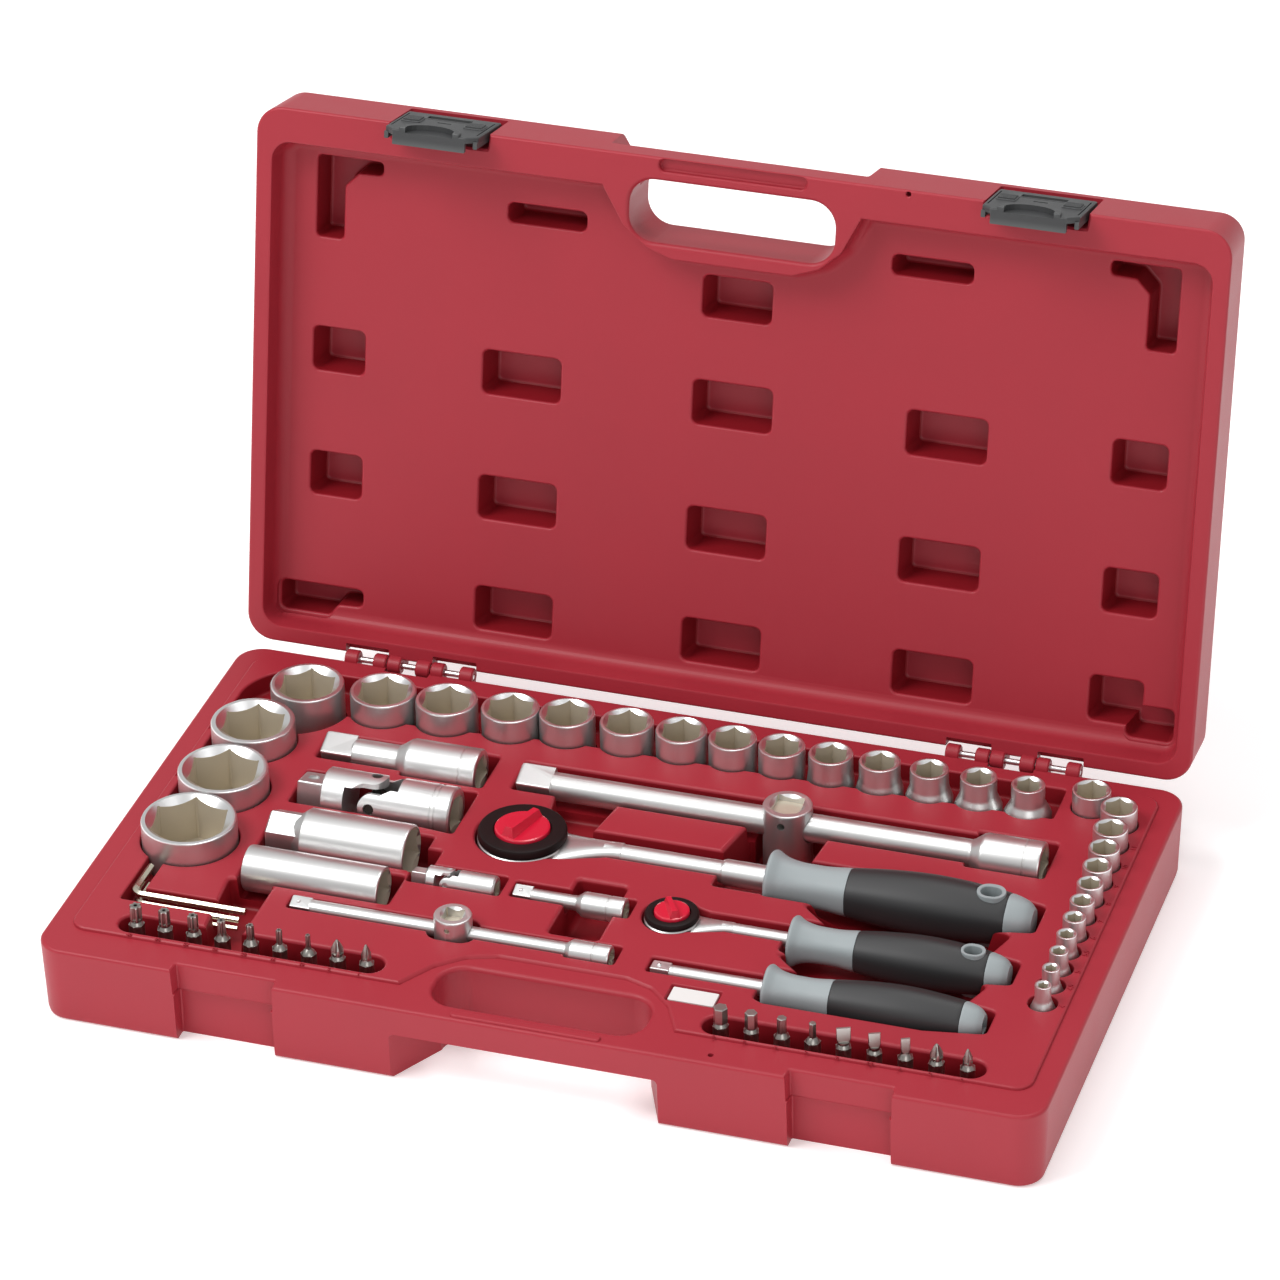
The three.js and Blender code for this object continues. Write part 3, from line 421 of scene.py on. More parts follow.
def carve(raw, steps):
    """Boolean steps in order, each ("cut", "add" or "keep", solid)."""
    kinds = {"cut": "DIFFERENCE", "add": "UNION", "keep": "INTERSECT"}
    body = temp(raw)
    tools = []
    for kind, solid in steps:
        tool = temp(solid)
        mod = body.modifiers.new("carve", "BOOLEAN")
        mod.operation = kinds[kind]
        mod.solver = "MANIFOLD"
        mod.object = tool
        tools.append(tool)
    graph = bpy.context.evaluated_depsgraph_get()
    mesh = bpy.data.meshes.new_from_object(body.evaluated_get(graph))
    out = [tuple(v.co) for v in mesh.vertices], [tuple(p.vertices) for p in mesh.polygons]
    for obj in [body, *tools]:
        data = obj.data
        bpy.data.objects.remove(obj)
        bpy.data.meshes.remove(data)
    bpy.data.meshes.remove(mesh)
    if not out[1]:
        raise ValueError("a boolean step left nothing")
    return out


def cut(raw, *solids):
    return carve(raw, [("cut", s) for s in solids])


def add(raw, *solids):
    return carve(raw, [("add", s) for s in solids])


def make(name, raw, body, mats, replaces=(), paint=None, matrix=None, sharp=32.0,
        flat_width=0.0):
    """The finished piece, in metres, riding on its body. paint(centre, normal) picks the material.
    Faces wider than flat_width are shaded flat."""
    if matrix:
        raw = moved(raw, matrix)
    mesh = bpy.data.meshes.new(name)
    mesh.from_pydata([tuple(c * MM for c in v) for v in raw[0]], [], raw[1])
    work = bmesh.new()
    work.from_mesh(mesh)
    bmesh.ops.recalc_face_normals(work, faces=work.faces)
    bmesh.ops.dissolve_degenerate(work, dist=0.00002, edges=work.edges)
    work.to_mesh(mesh)
    work.free()
    for mat in mats if isinstance(mats, list) else [mats]:
        mesh.materials.append(mat)
    if paint:
        for face in mesh.polygons:
            face.material_index = paint(face.center / MM, face.normal)
    for face in mesh.polygons:
        longest = max((mesh.vertices[a].co - mesh.vertices[b].co).length for a, b in face.edge_keys)
        face.use_smooth = not (flat_width and face.area > longest * flat_width * MM)
    mesh.set_sharp_from_angle(angle=radians(sharp))
    obj = bpy.data.objects.new(name, mesh)
    bpy.context.scene.collection.objects.link(obj)
    weight = obj.modifiers.new("flat_faces_stay_flat", "WEIGHTED_NORMAL")
    weight.keep_sharp = True
    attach(obj, body)
    if replaces:
        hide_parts(*replaces)
    return obj


# ---- case base
def socket_wells():
    steps = []
    for size, (od, drive) in HALF.items():
        lo, _ = span(f"half_socket_{size}")
        mid = centre(f"half_socket_{size}")
        steps.append(hollow(disc(mid.x, mid.y, max(od, drive) / 2 + 0.8), lo.z - 0.4, TOP, 0.9))
    for size, (od, drive) in QUARTER.items():
        lo, _ = span(f"quarter_socket_{size}")
        mid = centre(f"quarter_socket_{size}")
        steps.append(hollow(disc(mid.x, mid.y, max(od, drive) / 2 + 0.6, 32), lo.z - 0.4, TOP, 0.7))
    return steps


def mirrored(y, points):
    """An outline that is the same on both sides of y, from (x, half width) points."""
    return [(x, y - half) for x, half in points] + [(x, y + half) for x, half in reversed(points)]


def grip_well(x0, x1, y, r):
    points = mirrored(y, [(x0 - 3, r * 0.92), (x0 + 2, r + 1.4), (x1 - 24, r + 1.4), (x1 + 3, r * 0.72)])
    return hollow(poly(points, 3), AXIS_Z - r - 2.2, TOP, 1.4, 3)


def channel(x0, x1, y, below, above, depth, mouth=1.7):
    return hollow(rect(x0, x1, y - below, y + above, 1.6), AXIS_Z - depth, TOP, mouth, 2)


def tool_wells():
    ext = span("half_extension_short")
    plug21, plug16 = span("spark_plug_socket_21"), span("spark_plug_socket_16")
    male, female = span("half_universal_joint_male_fork"), span("half_universal_joint_female_fork")
    bar, head = span("half_extension_bar"), centre("half_sliding_head")
    lying = ("extension_short", "extension_bar", "universal_joint_male_fork")
    y_ext, y_bar, y_uj = (centre(f"half_{n}").y for n in lying)
    y_21, y_16 = centre("spark_plug_socket_21").y, centre("spark_plug_socket_16").y
    steps = [
        channel(ext[0].x - 1.5, -117, y_ext, 9, 12, 9),
        channel(-120, ext[1].x + 4.5, y_ext, 12.6, 15, 13),
        hollow(poly(mirrored(y_uj, [(male[0].x - 1.5, 13.6), (-123, 13.6), (female[1].x + 4.5, 17.8)]), 2),
            AXIS_Z - 14, TOP, 1.2, 3),
        channel(plug21[0].x - 1.5, plug21[1].x + 6, y_21, 14.4, 14.4, 15),
        channel(plug16[0].x - 1.5, plug16[1].x + 6, y_16, 11.8, 12, 12),
        channel(plug21[1].x + 3, -80, -22, 8, 12, 12),
        channel(bar[0].x - 1.5, 149, y_bar, 9, 14.5, 9, 1.6),
        channel(147, bar[1].x + 3, y_bar, 12, 17, 13, 1.6),
        hollow(rect(head.x - 14.2, head.x + 20.4, y_bar - 12.4, y_bar + 12.4, 9), 14.4, TOP),
        hollow(poly([(46, 50), (40, 18), (80, 18), (83, 50)], 2), 14.4, TOP, 2.4, 2),
        hollow(poly([(-46, 50), (-40, 14), (-22, 14), (-16, 50)], 2), 24, TOP, 2.4, 2),
        ]
    rh, rq = centre("half_ratchet_drive"), centre("quarter_ratchet_drive")
    half_grip, quarter_grip = span("half_ratchet_grip"), span("quarter_ratchet_grip")
    spin = span("spinner_grip")
    y_spin = centre("spinner_grip").y
    steps += [
        hollow(disc(rh.x, rh.y, 21.6, 64), 12, TOP, 1.4, 2),
        hollow(disc(rh.x, rh.y, 11.5, 40), 5, 13, 0.5, 1),
        hollow(poly(mirrored(rh.y, [(rh.x + 6, 18), (rh.x + 24, 13), (rh.x + 41, 7)]), 1.5),
            28, TOP, 1.2, 2),
        hollow(rect(rh.x, 46, rh.y - 6.4, rh.y + 12.5, 1.6), 28, TOP, 1.4, 2),
        hollow(rect(44, half_grip[0].x, rh.y - 15, rh.y + 12.5, 2), 26, TOP, 1.4, 3),
        grip_well(half_grip[0].x, half_grip[1].x, rh.y, 14.7),
        hollow(disc(rq.x, rq.y, 13.4, 48), 18, TOP, 1.2, 2),
        hollow(disc(rq.x, rq.y, 7.5, 32), 9, 19, 0.5, 1),
        hollow(poly(mirrored(rq.y, [(rq.x + 4, 11.2), (rq.x + 14, 8.4), (rq.x + 25, 5)]), 1.2),
            31, TOP, 1.0, 1.5),
        hollow(rect(rq.x, quarter_grip[0].x, rq.y - 4.6, rq.y + 8, 1.4), 31, TOP, 1.2, 2),
        grip_well(quarter_grip[0].x, quarter_grip[1].x, rq.y, 12.3),
        hollow(rect(span("spinner_shaft")[0].x - 1.5, spin[0].x, y_spin - 4.6, y_spin + 6.5, 1.4),
            33, TOP, 1.2, 1.5),
        grip_well(spin[0].x, spin[1].x, y_spin, 12),
        ]
    steps += [
        hollow(poly([(86, -4), (104, -20), (176, -20), (182, -2)], 3), GRIP_SPACE_Z, TOP, 2.2, 3),
        hollow(poly([(86, -44), (102, -58), (176, -58), (182, -42)], 3), GRIP_SPACE_Z, TOP, 2.2, 3),
        ]
    tbar, thead = span("quarter_sliding_bar"), centre("quarter_sliding_head")
    y_t = centre("quarter_sliding_bar").y
    uj, ext4 = span("quarter_universal_joint"), span("quarter_extension")
    y_u, y_e = centre("quarter_universal_joint").y, centre("quarter_extension").y
    steps += [
        channel(tbar[0].x - 1.4, 1, y_t, 4.6, 5.4, 5, 1),
        channel(-2, tbar[1].x + 3, y_t, 6.4, 8, 7, 1),
        hollow(rect(thead.x - 11.4, thead.x + 11.4, y_t - 9.4, y_t + 9.4, 7), 22.6, TOP, 1),
        channel(uj[0].x - 1.4, uj[1].x + 3, y_u, 6.8, 8.8, 7, 1),
        channel(ext4[0].x - 1.4, -8, y_e, 4.6, 8, 5.5, 1),
        channel(-10, ext4[1].x + 3, y_e, 6.8, 8, 7, 1),
        hollow(rect(-14, 9, -58, -14.5, 2), 22, TOP, 2.2, 3),
        hollow(rect(-205, -196.8, -80.5, -50, 1.2), 30, TOP, 0.9),
        hollow(rect(-205, -150, -86.5, -75.5, 1.6), 30, TOP, 0.9),
        hollow(poly([(-164, -57), (-143, -57), (-143, -97.5), (-160, -97.5)], 2.5), 24, TOP, 2.2, 2),
        hollow(rect(50.5, 73.5, -92.6, -80.4, 1), TOP - 2, TOP, 0.6, 0.3),
        ]
    for node in ("bits_left", "bits_right"):
        lo, hi = span(node)
        y = (lo.y + hi.y) / 2
        steps.append(hollow(rect(lo.x - 4.8, hi.x + 4.8, y - 6.6, y + 6.6, 6.5, 8), 26, TOP, 1.6, 3))
    return steps


def knuckle(x0, x1, low, high):
    """One hinge knuckle: a barrel on an arm that reaches back into the case."""
    length = x1 - x0
    barrel = along(turned([(KNUCKLE_R - 0.6, 0), (KNUCKLE_R, 0.6), (KNUCKLE_R, length - 0.6),
            (KNUCKLE_R - 0.6, length)], 40), x0, HINGE_Y, BASE_H)
    arm = block(rect(x0, x1, 127, HINGE_Y + 2.8, 0.8, 3), low, high, 0.5 if high > BASE_H else 0)
    return barrel, arm


def pin_bore(x):
    return along(turned([(PIN_R + 0.3, 0), (PIN_R + 0.3, 70)], 32), x - 35, HINGE_Y, BASE_H)


def case_base():
    shell = rect(-CASE_W / 2, CASE_W / 2, FRONT, -FRONT, CORNER_R, 12)
    top = [(-1.6 + 1.6 * cos(a), BASE_H - 1.6 + 1.6 * sin(a)) for a in quarter(6)]
    body = stack(shell, [(-2.8, 0), (-1.7, 0.9), (-1.2, 3), *top])
    steps = []
    deck = rect(*DECK, 8, 10)
    plate = stack(deck, [(0, BASE_H - 3), (0, TOP - 1.1), (-0.25, TOP - 0.45), (-0.9, TOP)])
    swerve = poly([(-69, -124), (67, -124), (61.5, -112), (53.5, -96), (43, -86), (30, -81.5),
            (-29, -81.5), (-42, -86), (-53.5, -96), (-63.5, -112)], 7, 8)
    plate = cut(plate, stack(swerve, [(-0.4, BASE_H - 6), (-0.4, BASE_H + 0.1), (0, BASE_H + 0.9),
            (0.9, TOP + 0.01), (0.9, TOP + 3)]))
    steps.append(("add", plate))
    steps.append(("add", block(rect(-35, 33, -129.4, -125.6, 1.8), BASE_H - 2, BASE_H + 1.2, 0.7)))
    for x in LATCH_X:
        steps.append(("cut", hollow(poly([(x - 24.2, FRONT - 12), (x - 24.2, FRONT - 4),
                (x - 23, FRONT + 6), (x + 23, FRONT + 6), (x + 24.2, FRONT - 4), (x + 24.2, FRONT - 12)],
                0.8), LEDGE_Z, BASE_H, 1.4, 0.3)))
        steps.append(("cut", stack(rect(x - 23, x + 23, FRONT - 12, FRONT + 8.5, 0.8),
                [(0, -2), (0, LEDGE_Z - 0.9), (-0.6, LEDGE_Z)])))
    steps.append(("cut", hollow(rect(*GRIP_X, -121, -92, 12, 10), -4, BASE_H, 2.2, 0)))
    under = poly([(-67, -145), (-63, -131), (-48, -104), (47, -104), (59, -131), (63, -145)], 1.5)
    steps.append(("cut", stack(under, [(0.8, -2), (0.3, BASE_H - 16), (-0.4, BASE_H - 14.6),
            (-1.2, BASE_H - 14)])))
    band = poly([(-187, 82), (-135, 84), (-100, 86), (-60, 90), (176, 91), (176, 116), (-187, 115.5)], 2)
    steps.append(("cut", hollow(rect(-214.5, -192, -33, 88, 4), 30, TOP, 1, 1.5)))
    steps.append(("cut", hollow(disc(-187, 88, 27.5, 72), 30, TOP, 1, 1.5)))
    steps.append(("cut", hollow(band, 30, TOP, 1, 1.5)))
    steps += [("cut", s) for s in socket_wells() + tool_wells()]
    bores = []
    for side in (-1, 1):
        c = side * HINGE_X
        steps.append(("cut", stack(rect(c - 11, c + 10.6, 126.6, 142, 0.6),
                [(0, BASE_H - 6), (0, TOP + 3)])))
        for k0, k1 in ((-31.8, -25.2), (-17.7, -11.3), (10.9, 17.1), (25.1, 31.7)):
            barrel, arm = knuckle(c + k0, c + k1, BASE_H - 9, BASE_H)
            steps += [("add", arm), ("add", barrel)]
        bores.append(("cut", pin_bore(c)))
    steps += bores
    island = block(rect(-196, -166.5, -74.5, -52, 3), 22, TOP - 0.3, 2.6)
    od = HALF[32][0]
    big = centre("half_socket_32")
    steps.append(("add", cut(island, stack(disc(big.x, big.y, od / 2 + 1.2), [(0, 0), (0, 60)]))))
    steps.append(("cut", stack(disc(81.6, -124.5, 1.2, 24), [(0, 31), (0, BASE_H - 0.4),
            (0.5, BASE_H + 1)])))
    body = carve(body, steps)

    # faces down in the wells, outside the grip hollow, get the darker red as painted shade
    def paint(c, n):
        in_well = c.z < TOP - 1.7 and abs(c.x) < DECK[1] - 0.5 and DECK[2] + 0.5 < c.y < DECK[3] - 0.5
        in_grip = abs(c.x) < 52 and c.y < -88
        return int(in_well and not in_grip)

    make("base_shell", body, "base", [RED, RED_PAINTED_SHADE], ["case_base"], paint, flat_width=4)


# ---- lid, made shut and swung open
def lid_pocket(cx, cy, w, d, r=3.2):
    mouth = rect(cx - w / 2, cx + w / 2, cy - d / 2, cy + d / 2, min(r, d * 0.45))
    floor = rect(cx - w / 2 + 2.6, cx + w / 2 - 1, cy - d / 2 + 1, cy + d / 2 - 2.2,
        min(2, (d - 3.2) * 0.4))
    return pocket_cutter(mouth, floor)


def pocket_cutter(mouth, floor):
    z = BASE_H + RIM_GAP
    top = z + PANEL_IN
    rings = [lift(mouth(1.3), top - 4), lift(mouth(1.3), top)]
    for a in quarter(5):
        rings.append(lift(mouth(1.3 * (1 - sin(a))), top + 1.3 - 1.3 * cos(a)))
    for a in quarter(3)[1:]:
        rings.append(lift(floor(0.9 - 1.8 * (1 - cos(a))), z + POCKET_IN - 1.5 + 1.5 * sin(a)))
    return loft(rings)


def case_lid():
    z = BASE_H + RIM_GAP
    shell = rect(-CASE_W / 2, CASE_W / 2, FRONT, -FRONT, CORNER_R, 12)
    rim = [(-1.3 + 1.3 * sin(a), z + 1.3 - 1.3 * cos(a)) for a in quarter(5)]
    back = [(-1.2 - 2.4 + 2.4 * cos(a), z + LID_T - 2.4 + 2.4 * sin(a)) for a in quarter(6)]
    body = stack(shell, [*rim, *back])
    inner = rect(*LID_SPACE, 9, 10)
    floor = z + PANEL_IN
    wall = [(1.2, z - 3), (1.2, z), (0.35, z + 0.35), (0, z + 1.2), (-0.8, floor - 6)]
    sweep = [(-0.8 - 6 + 6 * cos(a), floor - 6 + 6 * sin(a)) for a in quarter(6)[1:]]
    space = stack(inner, wall + sweep)
    ridge = poly([(-68, -128), (66, -128), (59.5, -113.5), (51.5, -97), (41.5, -88), (29, -83.5),
            (-28, -83.5), (-40.5, -88), (-51.5, -97), (-61.5, -113.5)], 6, 8)
    flare = [(6 - 6 * cos(a), floor - 6 + 6 * sin(a)) for a in quarter(6)]
    space = cut(space, stack(ridge, [(-1, z - 4), (-1, z), (-0.3, z + 0.4), (0, z + 1.2), *flare,
            (6, floor + 4)]))
    steps = [("cut", space)]
    pockets = [(side * 191.5, cy, 25.5, 21.5) for side in (-1, 1) for cy in (-12.6, 49)]
    pockets += [(cx, cy, 38, 21.5) for cx in (-101.7, 0, 101.7) for cy in (-12.6, 49, 104.2)]
    pockets += [(0, -64, 33, 20), (-92, -91, 38, 9.5), (90.5, -91, 38, 9.5)]
    pockets += [(188.5, 102, 25, 22), (205.2, 110.5, 22, 16)]
    steps += [("cut", lid_pocket(*p)) for p in pockets]
    for side in (-1, 1):
        corner = poly([(side * 204, -106.4), (side * 172, -106.4), (side * 172, -100),
                (side * 184, -99.5), (side * 190.5, -93), (side * 190.5, -67), (side * 204, -67)], 2.6)
        steps.append(("cut", pocket_cutter(corner, lambda d, o=corner: o(d - 1.2))))
    heel = poly([(-217.5, 105), (-176.5, 105), (-176.5, 113.5), (-189, 114), (-193, 119.5),
            (-217.5, 119.5)], 3.4)
    steps.append(("cut", pocket_cutter(heel, lambda d: heel(d - 1.2))))
    grip = rect(*GRIP_X, -120, -90.5, 12, 10)
    hole = [(2, z - 4), (2, z)] + [(2 - 2 * sin(a), z + 2 - 2 * cos(a)) for a in quarter(4)[1:]]
    hole += [(0.6, z + LID_T - 2), (2.2, z + LID_T), (2.2, z + LID_T + 4)]
    steps.append(("cut", stack(grip, hole)))
    groove = rect(-35.5, 34, -130.6, -124.4, 3)
    steps.append(("cut", stack(groove, [(0.6, z - 2), (0.6, z), (0, z + 0.6), (-0.2, z + 2.4),
            (-0.8, z + 3)])))
    over = poly([(-67, -145), (-63, -131), (-51, -112), (50, -112), (59, -131), (63, -145)], 1.5)
    steps.append(("cut", stack(over, [(-1, z + 14), (-0.2, z + 14.8), (0, z + 16), (1, z + LID_T + 3)])))
    for x in LATCH_X:
        h = BAY_W / 2
        bay = poly([(x - h - 1.2, FRONT - 12), (x - h - 1.2, FRONT - 4), (x - h, FRONT + 7.2),
                (x + h, FRONT + 7.2), (x + h + 1.2, FRONT - 4), (x + h + 1.2, FRONT - 12)], 0.8)
        steps.append(("cut", stack(bay, [(1, z - 3), (1, z), (0, z + 1.2), (0, z + LID_T - 6.8),
                (-0.8, z + LID_T - 6)])))
        steps.append(("cut", at(stack(rect(-h - 2.2, h + 2.2, -1.9, 1.9, 0.4), [(0, -1.9), (0, 1.9)]), x,
                LATCH_Y, LATCH_Z)))
    bores = []
    for side in (-1, 1):
        c = side * HINGE_X
        for n0, n1 in ((-32.6, -11.1), (10.7, 32.4)):
            steps.append(("cut", stack(rect(c + n0, c + n1, 126.4, 142, 0.6),
                    [(0, z - 3), (0, z + 6.5)])))
        for k0, k1 in ((-10.7, -4.1), (3.3, 10.3)):
            barrel, arm = knuckle(c + k0, c + k1, z, z + 9)
            steps += [("add", arm), ("add", barrel)]
        bores.append(("cut", pin_bore(c)))
    steps += bores
    steps.append(("cut", stack(disc(81, -129.1, 1.2, 24), [(0.5, z - 2), (0.5, z), (0, z + 0.4),
            (0, z + 8)])))
    unswing = SWING.inverted()

    # faces on the walls and floors of the lid's pockets get the darker red as painted shade
    def paint(c, n):
        shut = unswing @ c
        in_pocket = z + PANEL_IN + 1.4 < shut.z < z + POCKET_IN - 0.4
        on_panel = abs(shut.x) < DECK[1] and -108 < shut.y < DECK[3]
        in_grip = abs(shut.x) < 54 and shut.y < -86
        return int(in_pocket and on_panel and not in_grip)

    make("lid_shell", carve(body, steps), "lid", [RED, RED_PAINTED_SHADE], ["case_lid"], paint, SWING,
        flat_width=4)


def hinge_pins():
    for side, name in ((-1, "hinge_pin_left"), (1, "hinge_pin_right")):
        rod = turned([(PIN_R - 0.5, 0), (PIN_R, 0.5), (PIN_R, 62.5), (PIN_R - 0.5, 63)], 32)
        make(f"{name}_rod", along(rod, side * HINGE_X - 31.5, HINGE_Y, BASE_H), "base",
            BRIGHT, [name])


# ---- latches
def latch(x, side):
    h = LATCH_W / 2
    low = LEDGE_Z - 2.6

    def face(points, y0, y1, edge=0.5, r=1.0):
        """A plate in the X-Z plane between depths y0 (front) and y1."""
        plate = block(poly(points, r, 4), 0, y1 - y0, edge, 0)
        return moved(plate, shift(0, y1, 0) @ rotate(90, "X"))

    outline = [(-h, LATCH_Z), (-h, low + 5), (-h + 5, low), (h - 5, low), (h, low + 5), (h, LATCH_Z)]
    body = face(outline, FRONT, FRONT + 2.6, 0.7)
    barrel = turned([(2.8, 0), (3.3, 0.5), (3.3, LATCH_W - 0.5), (2.8, LATCH_W)], 40)
    pin = turned([(1.5, 0), (1.5, BAY_W + 3)], 24)
    steps = [
        ("add", along(barrel, -h, LATCH_Y, LATCH_Z)),
        ("add", along(pin, -BAY_W / 2 - 1.5, LATCH_Y, LATCH_Z)),
        ("add", stack(rect(-h + 5, h - 5, FRONT + 2, FRONT + 7, 0.4), [(0, low), (0, low + 2)])),
        ]
    for s in (-1, 1):
        steps.append(("add", stack(rect(s * (h - 1) - 1, s * (h - 1) + 1, FRONT + 2, FRONT + 5.4, 0.4),
                [(0, low + 3), (0, LATCH_Z)])))
        steps.append(("add", face([(s * 15 - 4.6, 39.5), (s * 15 + 4.6, 39.5), (s * 15 + 4.6, 48.5),
                (s * 15 - 4.6, 48.5)], FRONT - 0.5, FRONT + 1, 0.4)))
        for k in range(5):
            zz = 40.9 + k * 1.55
            steps.append(("add", face([(s * 15 - 3.9, zz), (s * 15 + 3.9, zz), (s * 15 + 3.9, zz + 0.75),
                    (s * 15 - 3.9, zz + 0.75)], FRONT - 1.0, FRONT + 1, 0.2, 0.3)))
    arch = [(-14.5, low), (14.5, low)] + [(14.5 * cos(t), low + 1.5 + 11 * sin(t))
        for t in (pi * k / 12 for k in range(1, 12))]
    steps.append(("add", face(arch, FRONT - 1.5, FRONT + 1, 0.7, 0.6)))
    under = [(-11.5, low - 2), (11.5, low - 2)] + [(11.5 * cos(t), low + 1 + 8 * sin(t))
        for t in (pi * k / 12 for k in range(1, 12))]
    steps.append(("cut", face(under, FRONT - 4, FRONT + 1.1, 0, 0.6)))
    steps.append(("cut", face([(-10.5, 49.9), (10.5, 49.9), (10.5, 54.3), (-10.5, 54.3)], FRONT - 4,
            FRONT + 6, 0, 0.6)))
    steps.append(("cut", face([(-3.4, 43.2), (3.4, 43.2), (3.4, 44.7), (-3.4, 44.7)], FRONT - 4,
            FRONT + 6, 0, 0.4)))
    for s in (-1, 1):
        steps.append(("cut", face([(s * 20.6 - 0.3, 30), (s * 20.6 + 0.3, 30), (s * 20.6 + 0.3, 55),
                (s * 20.6 - 0.3, 55)], FRONT - 4, FRONT + 0.7, 0, 0.2)))
    steps.append(("cut", face([(-12, 48.2), (12, 48.2), (12, 48.8), (-12, 48.8)], FRONT - 4, FRONT + 0.6,
            0, 0.2)))
    body = carve(body, steps)
    pose = (SWING @ shift(x, LATCH_Y, LATCH_Z) @ rotate(-LATCH_REST, "X") @ shift(0, -LATCH_Y, -LATCH_Z))
    make(f"latch_plate_{side}", body, f"{side}_latch", LATCH, [f"latch_{side}"],
        matrix=pose)


# ---- sockets
def socket_bore(flats, length, square_side, mouth):
    """Cutters of a socket: hexagon with relieved corners, a lead-in cone and the drive square."""
    corner = flats / sqrt(3)
    bore = hexagon(flats, length * 0.48, length + 1)
    relief = max(0.35, flats * 0.032)
    tools = [bore]
    for i in range(6):
        a = radians(30 + 60 * i)
        hub = corner - relief * 0.9
        tools.append(stack(disc(hub * cos(a), hub * sin(a), relief, 12),
                [(0, length * 0.48), (0, length + 1)]))
    drop = (mouth - flats / 2) * 0.75
    tools.append(turned([(flats / 2 - 0.02, length - drop), (mouth, length + 0.01), (mouth, length + 1)],
            64))
    tools.append(square(square_side, -1, length * 0.36, 0.4))
    tools.append(turned([(square_side * 0.36, length * 0.3), (square_side * 0.36, length * 0.5)], 24))
    return tools


def socket(node, name, flats, od, drive, square_side, flare_top):
    lo, hi = span(node)
    mid = (lo + hi) / 2
    length = hi.z - lo.z
    r, d = od / 2, drive / 2
    edge = min(1.0, r * 0.07)
    profile = [(d - 0.6, 0), (d, 0.6)]
    if d > r + 0.05:
        split = length - (hi.z - flare_top)
        profile += [(d, split - 3.5), (d - (d - r) * 0.25, split - 1.9), (r + (d - r) * 0.2, split + 1.5),
            (r, split + 3)]
    elif r - d > 0.3:
        profile += [(d, length * 0.3), (d + (r - d) * 0.2, length * 0.33),
            (r - (r - d) * 0.2, length * 0.39), (r, length * 0.42)]
    profile += [(r, length - edge), (r - edge * 0.3, length - edge * 0.3), (r - edge, length)]
    body = turned(profile, 64)
    corner = flats / sqrt(3)
    mouth = max(corner + 0.15, corner + (r - edge - corner) * 0.55)
    for tool in socket_bore(flats, length, square_side, mouth):
        body = cut(body, tool)
    wall = corner + 0.1

    def paint(c, n):
        rad = hypot(c.x - mid.x, c.y - mid.y)
        if n.z > 0.3 and rad < r and c.z > hi.z - (mouth - flats / 2) * 0.76 - 0.05:
            return 2
        return 1 if rad < wall else 0

    spun = moved(body, rotate(11, "Z"))
    body_name = body_of(node)
    make(name, at(spun, mid.x, mid.y, lo.z), body_name, STEEL_MATS, [node], paint)


def sockets():
    for size, (od, drive) in HALF.items():
        socket(f"half_socket_{size}", f"socket_half_{size}", size, od, drive, 12.8, 39)
    for size, (od, drive) in QUARTER.items():
        flats = float(size.replace("_", "."))
        socket(f"quarter_socket_{size}", f"socket_quarter_{size}", flats, od, drive, 6.5, 39)


def steel(name, raw, node, paint=None):
    return make(name, raw, body_of(node), STEEL_MATS, [node], paint)


def end_bore(end, deep, y, r, lip):
    """Paints the bore in the +X end of a lying tool, from its lip inwards."""
    return lambda c, n: int(end - deep < c.x < end - lip and hypot(c.y - y, c.z - AXIS_Z) < r)


# ---- lying tools
def extension(node, name, r, big, side, male_len, collar, ball=0.0):
    """A drive extension: square and ball at one end, shaft, cone, and a socket end with a square hole."""
    lo, hi = span(node)
    mid = centre(node)
    length = hi.x - lo.x
    grow = big - r
    shaft = turned([(r * 0.86, male_len - 1), (r, male_len + 0.4), (r, collar),
            (r + grow * 0.15, collar + grow * 0.35), (big - grow * 0.15, collar + grow * 1.3),
            (big, collar + grow * 1.7), (big, length - 8), (big - 0.25, length - 7.8),
            (big - 0.25, length - 7.2), (big, length - 7), (big, length - 1), (big - 0.3, length - 0.3),
            (big - 1, length)], 56)
    body = add(shaft, square(side, 0, male_len + 0.5, side * 0.07, side * 0.09))
    body = cut(body, square(side + 0.3, length - male_len, length + 1, 0.5),
        turned([(side * 0.5, length - 1.0), (side * 0.72, length + 0.4), (side * 0.72, length + 1)], 40))
    laid = along(body, lo.x, mid.y, AXIS_Z, SQUARE_SPIN)
    end = lo.x + length

    steel(name, laid, node, end_bore(end, male_len + 1, mid.y, side * 0.72, 0.3))
    if ball:
        bead = dome(ball)
        seat = shift(0.35 - side / 2, 0, male_len * 0.42) @ rotate(-90, "Y")
        bead = along(moved(bead, seat), lo.x, mid.y, AXIS_Z, SQUARE_SPIN)
        make(f"{name}_ball", bead, body_of(node), BRIGHT)


